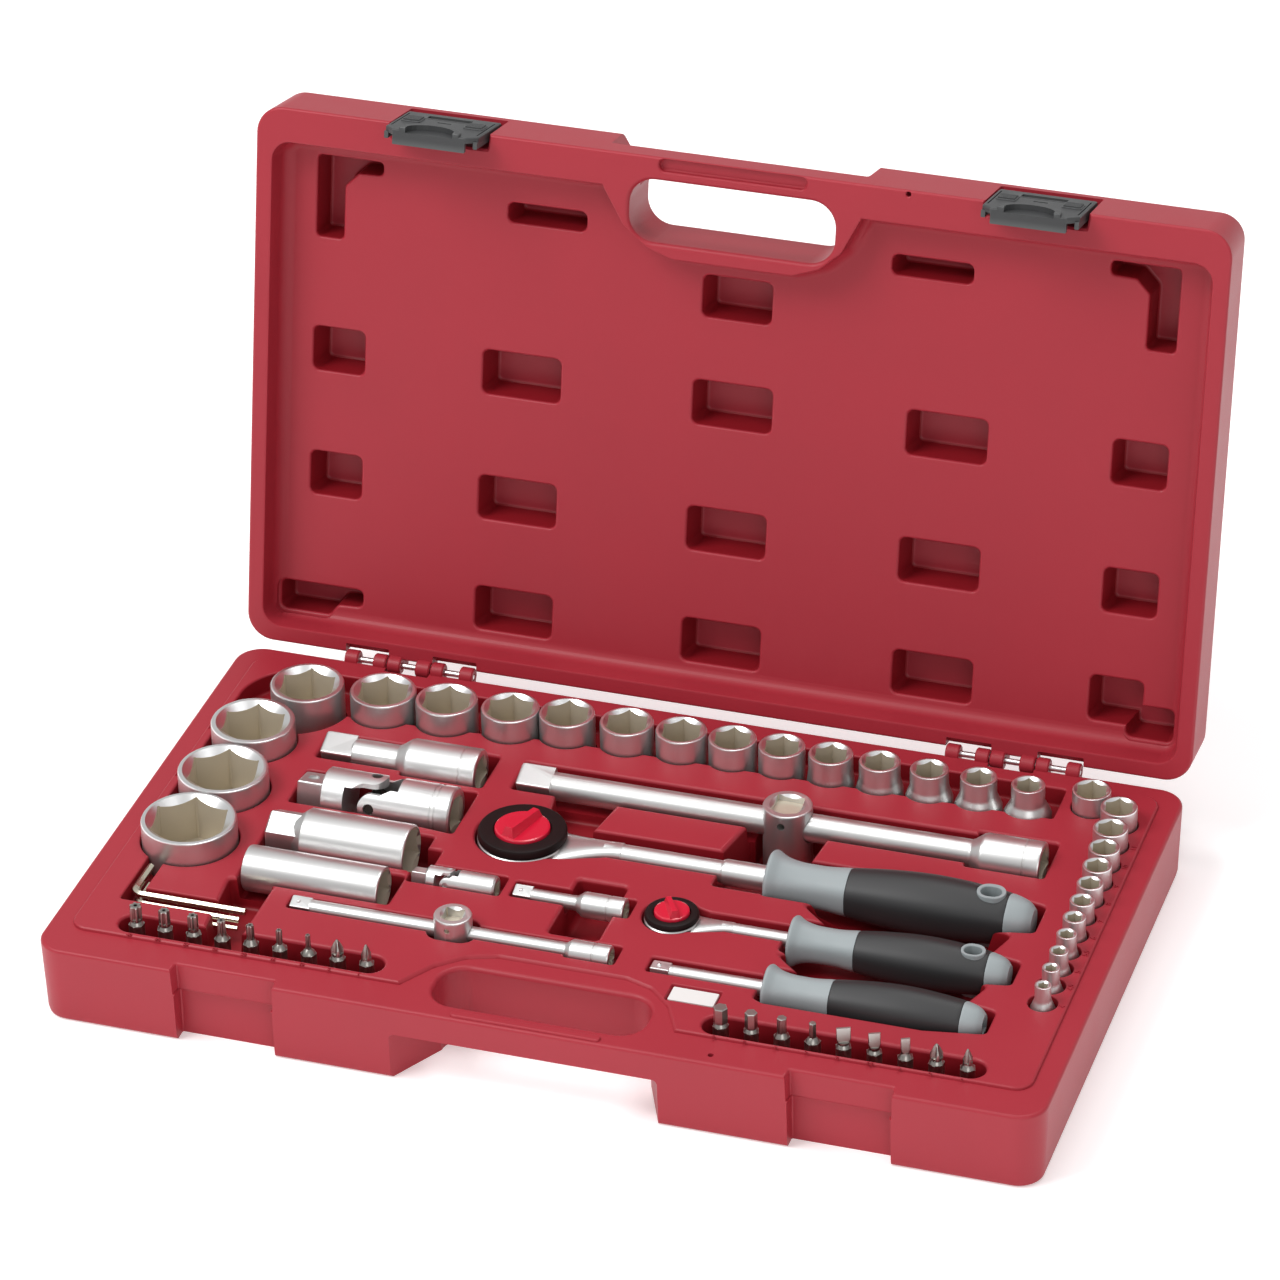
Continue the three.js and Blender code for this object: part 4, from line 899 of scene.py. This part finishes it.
def sliding_head(node, name, bar_r, head_r, side):
    lo, hi = span(node)
    mid = centre(node)
    tall = hi.z - lo.z
    body = turned([(head_r - 0.8, 0), (head_r, 0.8), (head_r, tall - 1), (head_r - 0.3, tall - 0.3),
            (head_r - 1, tall)], 56)
    body = at(body, mid.x, mid.y, lo.z)
    bore = along(turned([(bar_r + 0.5, 0), (bar_r + 0.5, 60)], 40), mid.x - 30, mid.y, AXIS_Z)
    hole = at(square(side, AXIS_Z + bar_r + 1.2, hi.z + 1, 0.5), mid.x, mid.y, 0)
    lead = at(turned([(side * 0.5, hi.z - 1.2), (side * 0.64, hi.z + 0.02), (side * 0.64, hi.z + 1)], 40),
        mid.x, mid.y, 0)
    dip = moved(turned([(side * 0.14, 0), (side * 0.14, 40)], 20),
        shift(mid.x, mid.y, hi.z - tall * 0.16) @ rotate(90, "X"))
    body = cut(body, bore, hole, lead, dip)

    def paint(c, n):
        rad = hypot(c.x - mid.x, c.y - mid.y)
        return 1 if rad < side * 0.73 and AXIS_Z + bar_r < c.z < hi.z - 1.3 else 0

    steel(name, body, node, paint=paint)


def fork(r, length, lug, thick, hole_r, eye, sideways):
    body = turned([(r - 0.8, 0), (r, 0.8), (r, length - 0.1), (r - 0.1, length)], 56)
    slot = stack(rect(-r - 2, r + 2, -r + thick, r - thick, 0.2), [(0, length - lug), (0, length + 1)])
    half = r * 0.55
    keep = []
    for s in (-1, 1):
        # each side is cut back to a lug with a round end
        flat = [(s * half, length - lug * 0.55), (s * half, length - eye)]
        flat += [(s * half * cos(a), length - eye + eye * sin(a))
            for a in (pi / 2 * k / 6 for k in range(1, 7))]
        flat += [(0, length + 3), (s * (r + 3), length + 3), (s * (r + 3), length - lug * 0.95),
            (s * (half + 2.4), length - lug * 0.8)]
        wedge = stack(poly(flat, 0.3, 2), [(0, -r - 2), (0, r + 2)])
        keep.append(moved(wedge, rotate(90, "X")))
    hole = moved(turned([(hole_r, -r - 2), (hole_r, r + 2)], 32),
        shift(0, 0, length - eye) @ rotate(90, "X"))
    body = cut(body, slot, *keep, hole)
    return moved(body, rotate(90, "Z")) if sideways else body


def cross_pins(r, reach, seg, at_z=0.0):
    """The two crossed pins of a universal joint."""
    pin = turned([(r, -reach), (r, reach)], seg)
    return [moved(pin, shift(0, 0, at_z) @ rotate(90, axis)) for axis in "XY"]


def universal_joint():
    male_node, female_node, cross_node = (f"half_universal_joint_{n}"
        for n in ("male_fork", "female_fork", "cross"))
    x0 = span(male_node)[0].x
    y = centre(male_node).y
    pivot = centre(cross_node).x - x0
    r, lug, eye = 12.2, 18, 5.3
    male = at(fork(r, pivot + eye - 13, lug, 4.2, 2.6, eye, False), 0, 0, 13)
    male = add(male, square(12.7, 0, 14, 0.9, 1.0))
    dimple = moved(turned([(2.6, 0), (2.6, 4)], 28), shift(0, 5, 6.2) @ rotate(-90, "X"))
    male = cut(male, dimple)
    steel("joint_male_fork", along(male, x0, y, AXIS_Z, 78), male_node)
    ball = turned([(2.1 * cos(a), 2.1 * sin(a)) for a in (radians(t) for t in range(-60, 81, 20))], 24)
    ball = moved(ball, shift(0, -4.9, 6.2) @ rotate(90, "X"))
    total = 75.0
    female = fork(r, total - pivot + eye, lug, 4.2, 2.6, eye, True)
    female = cut(female, square(13, -1, 14, 0.5), turned([(9.2, -1), (9.2, -0.01), (6.6, 1.2)], 40))
    for z in (6.5, 8.6):
        female = cut(female, hoop([(r - 0.35, z), (r + 1, z - 0.1), (r + 1, z + 0.9),
                (r - 0.35, z + 0.8)], 56))
    flipped = shift(0, 0, total) @ rotate(180, "X")
    laid = along(moved(female, flipped), x0, y, AXIS_Z, 78)
    end = x0 + total

    steel("joint_female_fork", laid, female_node, end_bore(end, 14.5, y, 9.3, 0.2))
    core = add(stack(rect(-3.6, 3.6, -3.6, 3.6, 0.8), [(-0.6, -3.6), (0, -3), (0, 3), (-0.6, 3.6)]),
        *cross_pins(2.2, r - 0.7, 28))
    steel("joint_cross", along(at(core, 0, 0, pivot), x0, y, AXIS_Z, 78), cross_node, paint=lambda c,
        n: 3)


def small_joint():
    node = "quarter_universal_joint"
    lo, hi = span(node)
    y = centre(node).y
    length = hi.x - lo.x
    r = 5.8
    male = at(fork(r, 12.5, 8, 2.0, 1.3, 2.6, False), 0, 0, 7)
    female = moved(fork(r, length - 14.3, 8, 2.0, 1.3, 2.6, True), shift(0, 0, length) @ rotate(180, "X"))
    body = add(male, square(6.35, 0, 8, 0.5, 0.5), female, at(stack(rect(-2.2, 2.2, -2.2, 2.2, 0.4),
            [(0, -2.2), (0, 2.2)]), 0, 0, 16.9), *cross_pins(1.25, 5.2, 20, 16.9))
    body = cut(body, square(6.6, length - 7, length + 1, 0.4))
    end = lo.x + length
    steel("small_joint_body", along(body, lo.x, y, AXIS_Z, 78), node, end_bore(end, 7.5, y, 4.8, 0.2))


def spark_plugs():
    lo, hi = span("spark_plug_socket_21")
    y, length = centre("spark_plug_socket_21").y, hi.x - lo.x
    r = 13.2
    body = turned([(9.8, 13), (10.6, 14.6), (r - 0.6, 17.2), (r, 18.2), (r, length - 1),
            (r - 0.3, length - 0.3), (r - 1, length)], 64)
    body = add(body, stack(poly([(19 / sqrt(3) * cos(radians(60 * i)),
            19 / sqrt(3) * sin(radians(60 * i))) for i in range(6)], 0.5, 2),
            [(-0.9, 0), (0, 0.9), (0, 15)]))
    body = cut(body, square(13, -1, 13, 0.5), hexagon(21, 32, length + 1, 0, 0),
        turned([(10.5, length - 1.6), (12.4, length + 0.2), (12.4, length + 1)], 56))
    end21 = lo.x + length
    steel("plug_socket_21", along(body, lo.x, y, AXIS_Z), "spark_plug_socket_21",
        end_bore(end21, 36, y, 12.2, 0.4))
    lo, hi = span("spark_plug_socket_16")
    y2, length = centre("spark_plug_socket_16").y, hi.x - lo.x
    r = 10.6
    body = turned([(r - 1, 0), (r - 0.3, 0.3), (r, 1), (r, length - 1), (r - 0.3, length - 0.3),
            (r - 1, length)], 64)
    body = cut(body, hexagon(16, 28, length + 1, 0, 0), square(13, -1, 13, 0.5),
        turned([(8, length - 1.4), (9.6, length + 0.2), (9.6, length + 1)], 56))
    end16 = lo.x + length
    steel("plug_socket_16", along(body, lo.x, y2, AXIS_Z), "spark_plug_socket_16",
        end_bore(end16, 36, y2, 9.4, 0.4))


# ---- handles
def smooth_through(points, steps=6):
    """Catmull-Rom through (x, r) points."""
    out = []
    p = [points[0], *points, points[-1]]
    for i in range(1, len(p) - 2):
        for k in range(steps):
            t = k / steps
            out.append(tuple(0.5 * (2 * b + (c - a) * t + (2 * a - 5 * b + 4 * c - d) * t * t
                    + (3 * b - a - 3 * c + d) * t ** 3) for a, b, c,
                    d in zip(p[i - 1], p[i], p[i + 1], p[i + 2])))
    out.append(points[-1])
    return out


def grip_ring(x, y, r, seg=56):
    """A circle with six slightly flattened sides."""
    out = []
    for i in range(seg):
        a = 2 * pi * i / seg
        k = r * (1 - 0.02 * (1 + cos(6 * a)))
        out.append((x, y + k * cos(a), GRIP_Z + k * sin(a)))
    return out


def grip(node, name, r, shaft_r, hole_x):
    lo, hi = span(node)
    y = centre(node).y
    x0, x1 = lo.x, hi.x
    length = x1 - x0
    body_name = body_of(node)
    curve = smooth_through([(0, 0.90), (0.012, 0.96), (0.05, 0.80), (0.10, 0.71), (0.16, 0.69),
            (0.24, 0.715), (0.42, 0.90), (0.58, 0.99), (0.72, 0.965), (0.86, 0.855), (0.93, 0.76),
            (0.975, 0.62), (1.0, 0.42)], 7)
    profile = [(x0 + u * length, v * r) for u, v in curve]
    cut1 = x0 + length * 0.305
    cut2 = x0 + length * 0.905

    def radius(x):
        for (xa, ra), (xb, rb) in zip(profile, profile[1:]):
            if xa <= x <= xb and xb > xa:
                return ra + (rb - ra) * (x - xa) / (xb - xa)
        return profile[-1][1]

    def part(xa, xb, first, last):
        xs = [xa] + [x for x, _ in profile if xa + 0.5 < x < xb - 0.5] + [xb]
        rings = []
        if not first:
            rings += [grip_ring(xa, y, radius(xa) - 0.7), grip_ring(xa + 0.12, y, radius(xa) - 0.15)]
            xs = xs[1:]
        if not last:
            xs = xs[:-1]
        rings += [grip_ring(x, y, max(radius(x), 0.4)) for x in xs]
        if not last:
            rings += [grip_ring(xb - 0.12, y, radius(xb) - 0.15), grip_ring(xb, y, radius(xb) - 0.7)]
        return loft(rings)

    bore = along(turned([(shaft_r + 0.3, -1), (shaft_r + 0.3, 26)], 32), x0, y, GRIP_Z)
    collar = cut(part(x0, cut1, True, False), bore)
    body = part(cut1, cut2, False, False)
    cap = part(cut2, x1, False, True)
    if hole_x:
        slot = stack(rect(hole_x - r * 0.46, hole_x + r * 0.46, y - r * 0.40, y + r * 0.40, r * 0.395,
                10), [(0, 0), (0, 80)])
        body = cut(body, slot)
        eye = rect(hole_x - r * 0.455, hole_x + r * 0.455, y - r * 0.395, y + r * 0.395, r * 0.39, 10)
        inner = -r * 0.13
        high, low = GRIP_Z + radius(hole_x) + 0.2, GRIP_Z - radius(hole_x) - 0.1
        collar_ring = loft([lift(eye(0), low), lift(eye(0), high - 0.5), lift(eye(-0.2), high),
                lift(eye(inner + 0.3), high), lift(eye(inner), high - 0.4), lift(eye(inner), low)],
            closed=True)
        make(f"{name}_eye", collar_ring, body_name, GREY)
    if not hole_x:
        cap = cut(cap, along(square(6.6, 0, 12, 0.4), x1 - 9, y, GRIP_Z))
    make(f"{name}_collar", collar, body_name, GREY, [node])
    make(f"{name}_body", body, body_name, BLACK)
    make(f"{name}_cap", cap, body_name, GREY)


def ratchet(prefix, s):
    node = f"{prefix}_ratchet_body"
    hub = centre(f"{prefix}_ratchet_drive")
    x, y = hub.x, hub.y
    low = GRIP_Z - s["head_low"]
    high = low + s["head_t"]
    r = s["head_r"]
    collar = span(f"{prefix}_ratchet_grip")[0].x
    body_name = body_of(node)
    split = high - s["ring_t"]
    head = at(turned([(r - 1.6, low), (r - 0.4, low + 0.9), (r, low + 2.2), (r, split - 0.5),
            (r - 0.5, split)], 72), x, y, 0)
    neck_rings = []
    for k in range(11):
        t = k / 10
        px = x + r * 0.55 + (r * 1.75) * t
        fall = (1 - t) ** 1.8
        wide = s["shank"] * 1.02 + (r * 0.80 - s["shank"]) * fall
        deep = s["shank"] * 1.02 + (s["neck_h"] - s["shank"]) * fall
        mid_z = GRIP_Z - (GRIP_Z - (low + split) / 2) * (1 - t) ** 1.5
        neck_rings.append([(px, y + wide * abs(cos(a)) ** 0.8 * copysign(1, cos(a)),
                mid_z + deep * abs(sin(a)) ** 0.8 * copysign(1, sin(a)))
                for a in (2 * pi * i / 40 for i in range(40))])
    shank = along(turned([(s["shank"], 0), (s["shank"], collar + 20 - (x + r * 1.9))], 40), x + r * 1.9,
        y, GRIP_Z)
    body = add(head, loft(neck_rings), shank)
    if s["sleeve_r"]:
        sleeve = turned([(s["shank"] - 0.2, 0), (s["sleeve_r"] - 0.5, 1.2), (s["sleeve_r"], 2.4),
                (s["sleeve_r"], collar + 6 - s["sleeve_x"])], 40)
        body = add(body, along(sleeve, s["sleeve_x"], y, GRIP_Z))
    body = cut(body, at(turned([(s["drive_r"] + 0.3, low - 2), (s["drive_r"] + 0.3, low + s["sunk"])],
            48), x, y, 0))
    steel(f"{prefix}_ratchet_steel", body, node)
    ring_r = r * 0.985
    ring = at(hoop([(s["dial_r"] + 0.25, high - 1.2), (s["dial_r"] + 0.25, split + 0.02),
            (ring_r - 0.6, split + 0.02), (ring_r, split + 0.8), (ring_r, high - 1.5),
            (ring_r - 0.5, high - 0.4), (ring_r - 1.6, high), (s["dial_r"] + 1.1, high),
            (s["dial_r"] + 0.5, high - 0.3)], 96), x, y, 0)
    make(f"{prefix}_selector_ring", ring, body_name, RING)
    dial_body = f"{prefix}_dial"
    d = s["dial_r"]
    face = turned([(d, high - s["sunk"] + 0.4), (d, high + 0.1), (d - 0.25, high + 0.7),
            (d - 0.9, high + 1.0)], 64)
    w, h = s["bar_w"], s["bar_h"]
    # the thumb bar is a wedge: wide and tall at one end, with a sloped crest
    bar = loft([[(-d * 0.9, -w * 1.05, 0), (d * 0.92, -w * 0.8, 0), (d * 0.92, w * 0.8, 0),
            (-d * 0.9, w * 1.05, 0)], [(-d * 0.9, -w * 0.95, 0.9), (d * 0.92, -w * 0.72, 0.9),
            (d * 0.92, w * 0.72, 0.9), (-d * 0.9, w * 0.95, 0.9)],
            [(-d * 0.78, -w * 0.5, h), (d * 0.84, -w * 0.42, h * 0.82), (d * 0.84, w * 0.42, h * 0.82),
            (-d * 0.78, w * 0.5, h)]])
    bar = moved(bar, shift(0, 0, high) @ rotate(s["turn"], "Z"))
    round_stop = turned([(d - 0.35, high - 1), (d - 0.35, high + h + 2)], 64)
    bar = carve(bar, [("keep", round_stop)])
    dial = at(add(face, bar), x, y, 0)
    shown = make(f"{prefix}_dial_knob", dial, dial_body, DIAL, [f"{prefix}_ratchet_dial"],
        sharp=24)
    bevel = shown.modifiers.new("soft_edges", "BEVEL")
    bevel.width = 0.35 * MM
    bevel.segments = 3
    bevel.limit_method = "ANGLE"
    bevel.angle_limit = radians(28)
    q = s["square"]
    drive = at(add(turned([(s["drive_r"] - 0.5, low + 0.2), (s["drive_r"], low + 0.7),
            (s["drive_r"], low + s["sunk"] - 0.2)], 48), square(q, low - s["drive_l"], low + 0.8,
            q * 0.07, q * 0.09)), x, y, 0)
    make(f"{prefix}_drive_square", drive, f"{prefix}_drive", CHROME,
        [f"{prefix}_ratchet_drive"])
    grip(f"{prefix}_ratchet_grip", f"{prefix}_handle", s["grip_r"], max(s["shank"], s["sleeve_r"]),
        s["hole_x"])


def spinner():
    lo, _ = span("spinner_shaft")
    y = centre("spinner_shaft").y
    length = span("spinner_grip")[0].x + 20 - lo.x
    rod = add(turned([(3.0, 7.2), (3.5, 9), (3.5, length)], 40), square(6.35, 0, 8.6, 0.5, 0.6))
    steel("spinner_rod", along(rod, lo.x, y, GRIP_Z), "spinner_shaft")
    bead = moved(dome(1.1), shift(lo.x + 3.6, y, GRIP_Z + 2.9))
    make("spinner_ball", bead, "spinner", BRIGHT)
    grip("spinner_grip", "spinner_handle", 12, 3.5, 0)


# ---- keys and bits
def hex_keys():
    def key(af, x, y, long, short, z):
        bend = af * 1.6
        points = [Vector((x + long, y, z)), Vector((x + long * 0.5, y, z)),
            Vector((x + af / 2 + bend, y, z))]
        mid = Vector((x + af / 2 + bend, y + bend, z))
        for k in range(1, 8):
            a = radians(-90 - 90 * k / 7)
            points.append(mid + bend * Vector((cos(a), sin(a), 0)))
        points.append(Vector((x + af / 2, y + short, z)))
        rings = []
        for i, p in enumerate(points):
            before, after = points[max(i - 1, 0)], points[min(i + 1, len(points) - 1)]
            run = (after - before).normalized()
            side = Vector((0, 0, 1)).cross(run).normalized()
            c = af / sqrt(3)
            rings.append([p + side * (c * cos(radians(60 * j + 30)))
                    + Vector((0, 0, c * sin(radians(60 * j + 30)))) for j in range(6)])
        return loft(rings)

    raws = [key(3, -203.4, -78.6, 55, 22, 37.5), key(2.5, -200.6, -81, 50, 15, 34.3),
        key(2, -202.4, -84, 52, 9, 31.7)]
    names = ("large", "middle", "small")
    for name, raw in zip(names, raws):
        replaced = ["hex_keys"] if name == "large" else []
        make(f"hex_key_{name}", raw, "hex_key_set", NICKEL, replaced, sharp=25)


def star_outline(r, seg=36):
    return [((r * (0.86 + 0.14 * cos(6 * a))) * cos(a), (r * (0.86 + 0.14 * cos(6 * a))) * sin(a))
        for a in (2 * pi * i / seg for i in range(seg))]


def bit(kind, r):
    """One screwdriver bit, 22.6 mm high, tip up."""
    shank = hexagon(6.35, 0, 13, 0.3)
    neck = turned([(3.25, 12.6), (2.9, 13.4), (2.3, 14.4), (max(r * 0.92, 1.2), 15.4),
            (max(r * 0.92, 1.2), 16)], 32)
    if kind == "star":
        tip = loft([lift(star_outline(r), 15), lift(star_outline(r), 22),
                lift(star_outline(r * 0.9), 22.6)])
        tip = cut(tip, turned([(r * 0.3, 18), (r * 0.3, 24)], 16))
    elif kind == "hex":
        tip = stack(poly([(r * 1.12 * cos(radians(60 * i)), r * 1.12 * sin(radians(60 * i)))
                for i in range(6)], 0.15, 2), [(0, 15), (0, 22.2), (-0.3, 22.6)])
    elif kind == "flat":
        tip = loft([lift(rect(-r * 0.8, r * 0.8, -1.7, 1.7, 1.2, 3)(0), 14.5),
                lift(rect(-r, r, -1.3, 1.3, 0.5, 3)(0), 17.5),
                lift(rect(-r, r, -0.5, 0.5, 0.2, 3)(0), 22.6)])
    else:
        rod = turned([(r, 15), (r, 18.2), (r * 0.5, 21.2), (0.35, 22.6)], 32)
        grooves = []
        for i in range(4):
            groove = stack(disc(0, 0, r * 0.62, 20), [(0, -8), (0, 12)])
            lean = rotate(45 + 90 * i, "Z") @ shift(r, 0, 20) @ rotate(-9, "Y")
            grooves.append(moved(groove, lean))
        tip = cut(rod, *grooves)
    return add(shank, neck, tip)


def bits():
    star = [("star", r) for r in (2.9, 2.6, 2.4, 2.1, 1.8, 1.4, 1.2)] + [("cross", 2.8), ("cross", 2.2)]
    mixed = [("hex", r) for r in (2.9, 2.5, 2.0, 1.5)] + [("flat", r)
        for r in (3.1, 2.6, 2.0)] + [("cross", 2.8), ("cross", 2.2)]
    for side, kinds in (("left", star), ("right", mixed)):
        lo, hi = span(f"bits_{side}")
        y = (lo.y + hi.y) / 2
        first, last = lo.x + 3.2, hi.x - 3.2
        for i, (kind, r) in enumerate(kinds):
            x = first + (last - first) * i / 8
            turn = shift(x, y, hi.z - 22.6) @ rotate(17 * i, "Z")
            if kind == "flat":
                turn = shift(x, y, hi.z - 22.6) @ rotate(24, "Z")
            make(f"bit_{side}_{i + 1}", bit(kind, r), f"{side}_bits", BIT,
                [f"bits_{side}"] if i == 0 else [], matrix=turn, sharp=25)


# ---- label plate and size numbers
def trim():
    plate = block(rect(51.6, 72.4, -91.4, -81.6, 0.6, 3), TOP - 1.9, TOP - 0.5, 0.3)
    make("blank_plate", plate, "base", PLATE)
    words = []
    for size in HALF:
        mid = centre(f"half_socket_{size}")
        if size >= 27:
            words.append((str(size), max(mid.x - 25.2, -215.4), mid.y + 3, 90))
    for size in QUARTER:
        mid = centre(f"quarter_socket_{size}")
        if size not in ("13", "12"):
            words.append((size.replace("_", ".").lstrip("0"), 218.0, mid.y - 1.5, 90))
    for side, sizes in (("left", (40, 30, 27, 25, 20, 15, 10, 2, 1)),
        ("right", (6, 5, 4, 3, 7, 5.5, 4, 2, 1))):
        lo, hi = span(f"bits_{side}")
        for i, value in enumerate(sizes):
            x = lo.x + 3.2 + (hi.x - lo.x - 6.4) * i / 8
            words.append((str(value), x - 1.0, (lo.y + hi.y) / 2 - 10.2, 0))
    made = []
    for text, x, y, turn in words:
        curve = bpy.data.curves.new("number", "FONT")
        curve.body = text
        curve.size = 3.6 if turn else 2.5
        curve.extrude = 0.22
        curve.bevel_depth = 0.06
        curve.resolution_u = 3
        obj = bpy.data.objects.new("number", curve)
        bpy.context.scene.collection.objects.link(obj)
        graph = bpy.context.evaluated_depsgraph_get()
        mesh = bpy.data.meshes.new_from_object(obj.evaluated_get(graph))
        place = shift(x, y, TOP + 0.12) @ rotate(turn, "Z")
        made.append(([tuple(place @ v.co) for v in mesh.vertices],
                [tuple(p.vertices) for p in mesh.polygons]))
        bpy.data.objects.remove(obj)
        bpy.data.meshes.remove(mesh)
    make("size_numbers", together(*made), "base", RED)


camera()
studio()
case_base()
case_lid()
hinge_pins()
latch(LATCH_X[0], "left")
latch(LATCH_X[1], "right")
sockets()
extension("half_extension_short", "short_extension_body", 7.2, 11.5, 12.7, 15, 36)
extension("half_extension_bar", "long_bar_body", 6.5, 10.6, 12.7, 16, 213)
extension("quarter_sliding_bar", "small_bar_body", 3.6, 5.6, 6.35, 9, 128, 1.0)
extension("quarter_extension", "small_extension_body", 3.4, 5.9, 6.35, 8, 29, 1.0)
sliding_head("half_sliding_head", "sliding_head_body", 6.5, 11.4, 13.0)
sliding_head("quarter_sliding_head", "small_sliding_head_body", 3.6, 8.6, 8.9)
universal_joint()
small_joint()
spark_plugs()
ratchet("half", {
    "head_r": 20.6, "head_t": 21, "head_low": 15, "neck_h": 7.0, "shank": 5, "sleeve_r": 6.0, "sleeve_x": 44,
    "dial_r": 12.7, "ring_t": 4.6, "sunk": 4, "bar_w": 3.6, "bar_h": 5.6, "turn": 72,
    "drive_r": 9.5, "square": 12.7, "drive_l": 13, "grip_r": 14.7, "hole_x": 168.5,
    })
ratchet("quarter", {
    "head_r": 12.4, "head_t": 14, "head_low": 9, "neck_h": 4.4, "shank": 3.4, "sleeve_r": 0, "sleeve_x": 0,
    "dial_r": 8, "ring_t": 3.2, "sunk": 3, "bar_w": 2.6, "bar_h": 4.2, "turn": 120,
    "drive_r": 5.6, "square": 6.35, "drive_l": 8, "grip_r": 12.3, "hole_x": 172,
    })
spinner()
hex_keys()
bits()
trim()
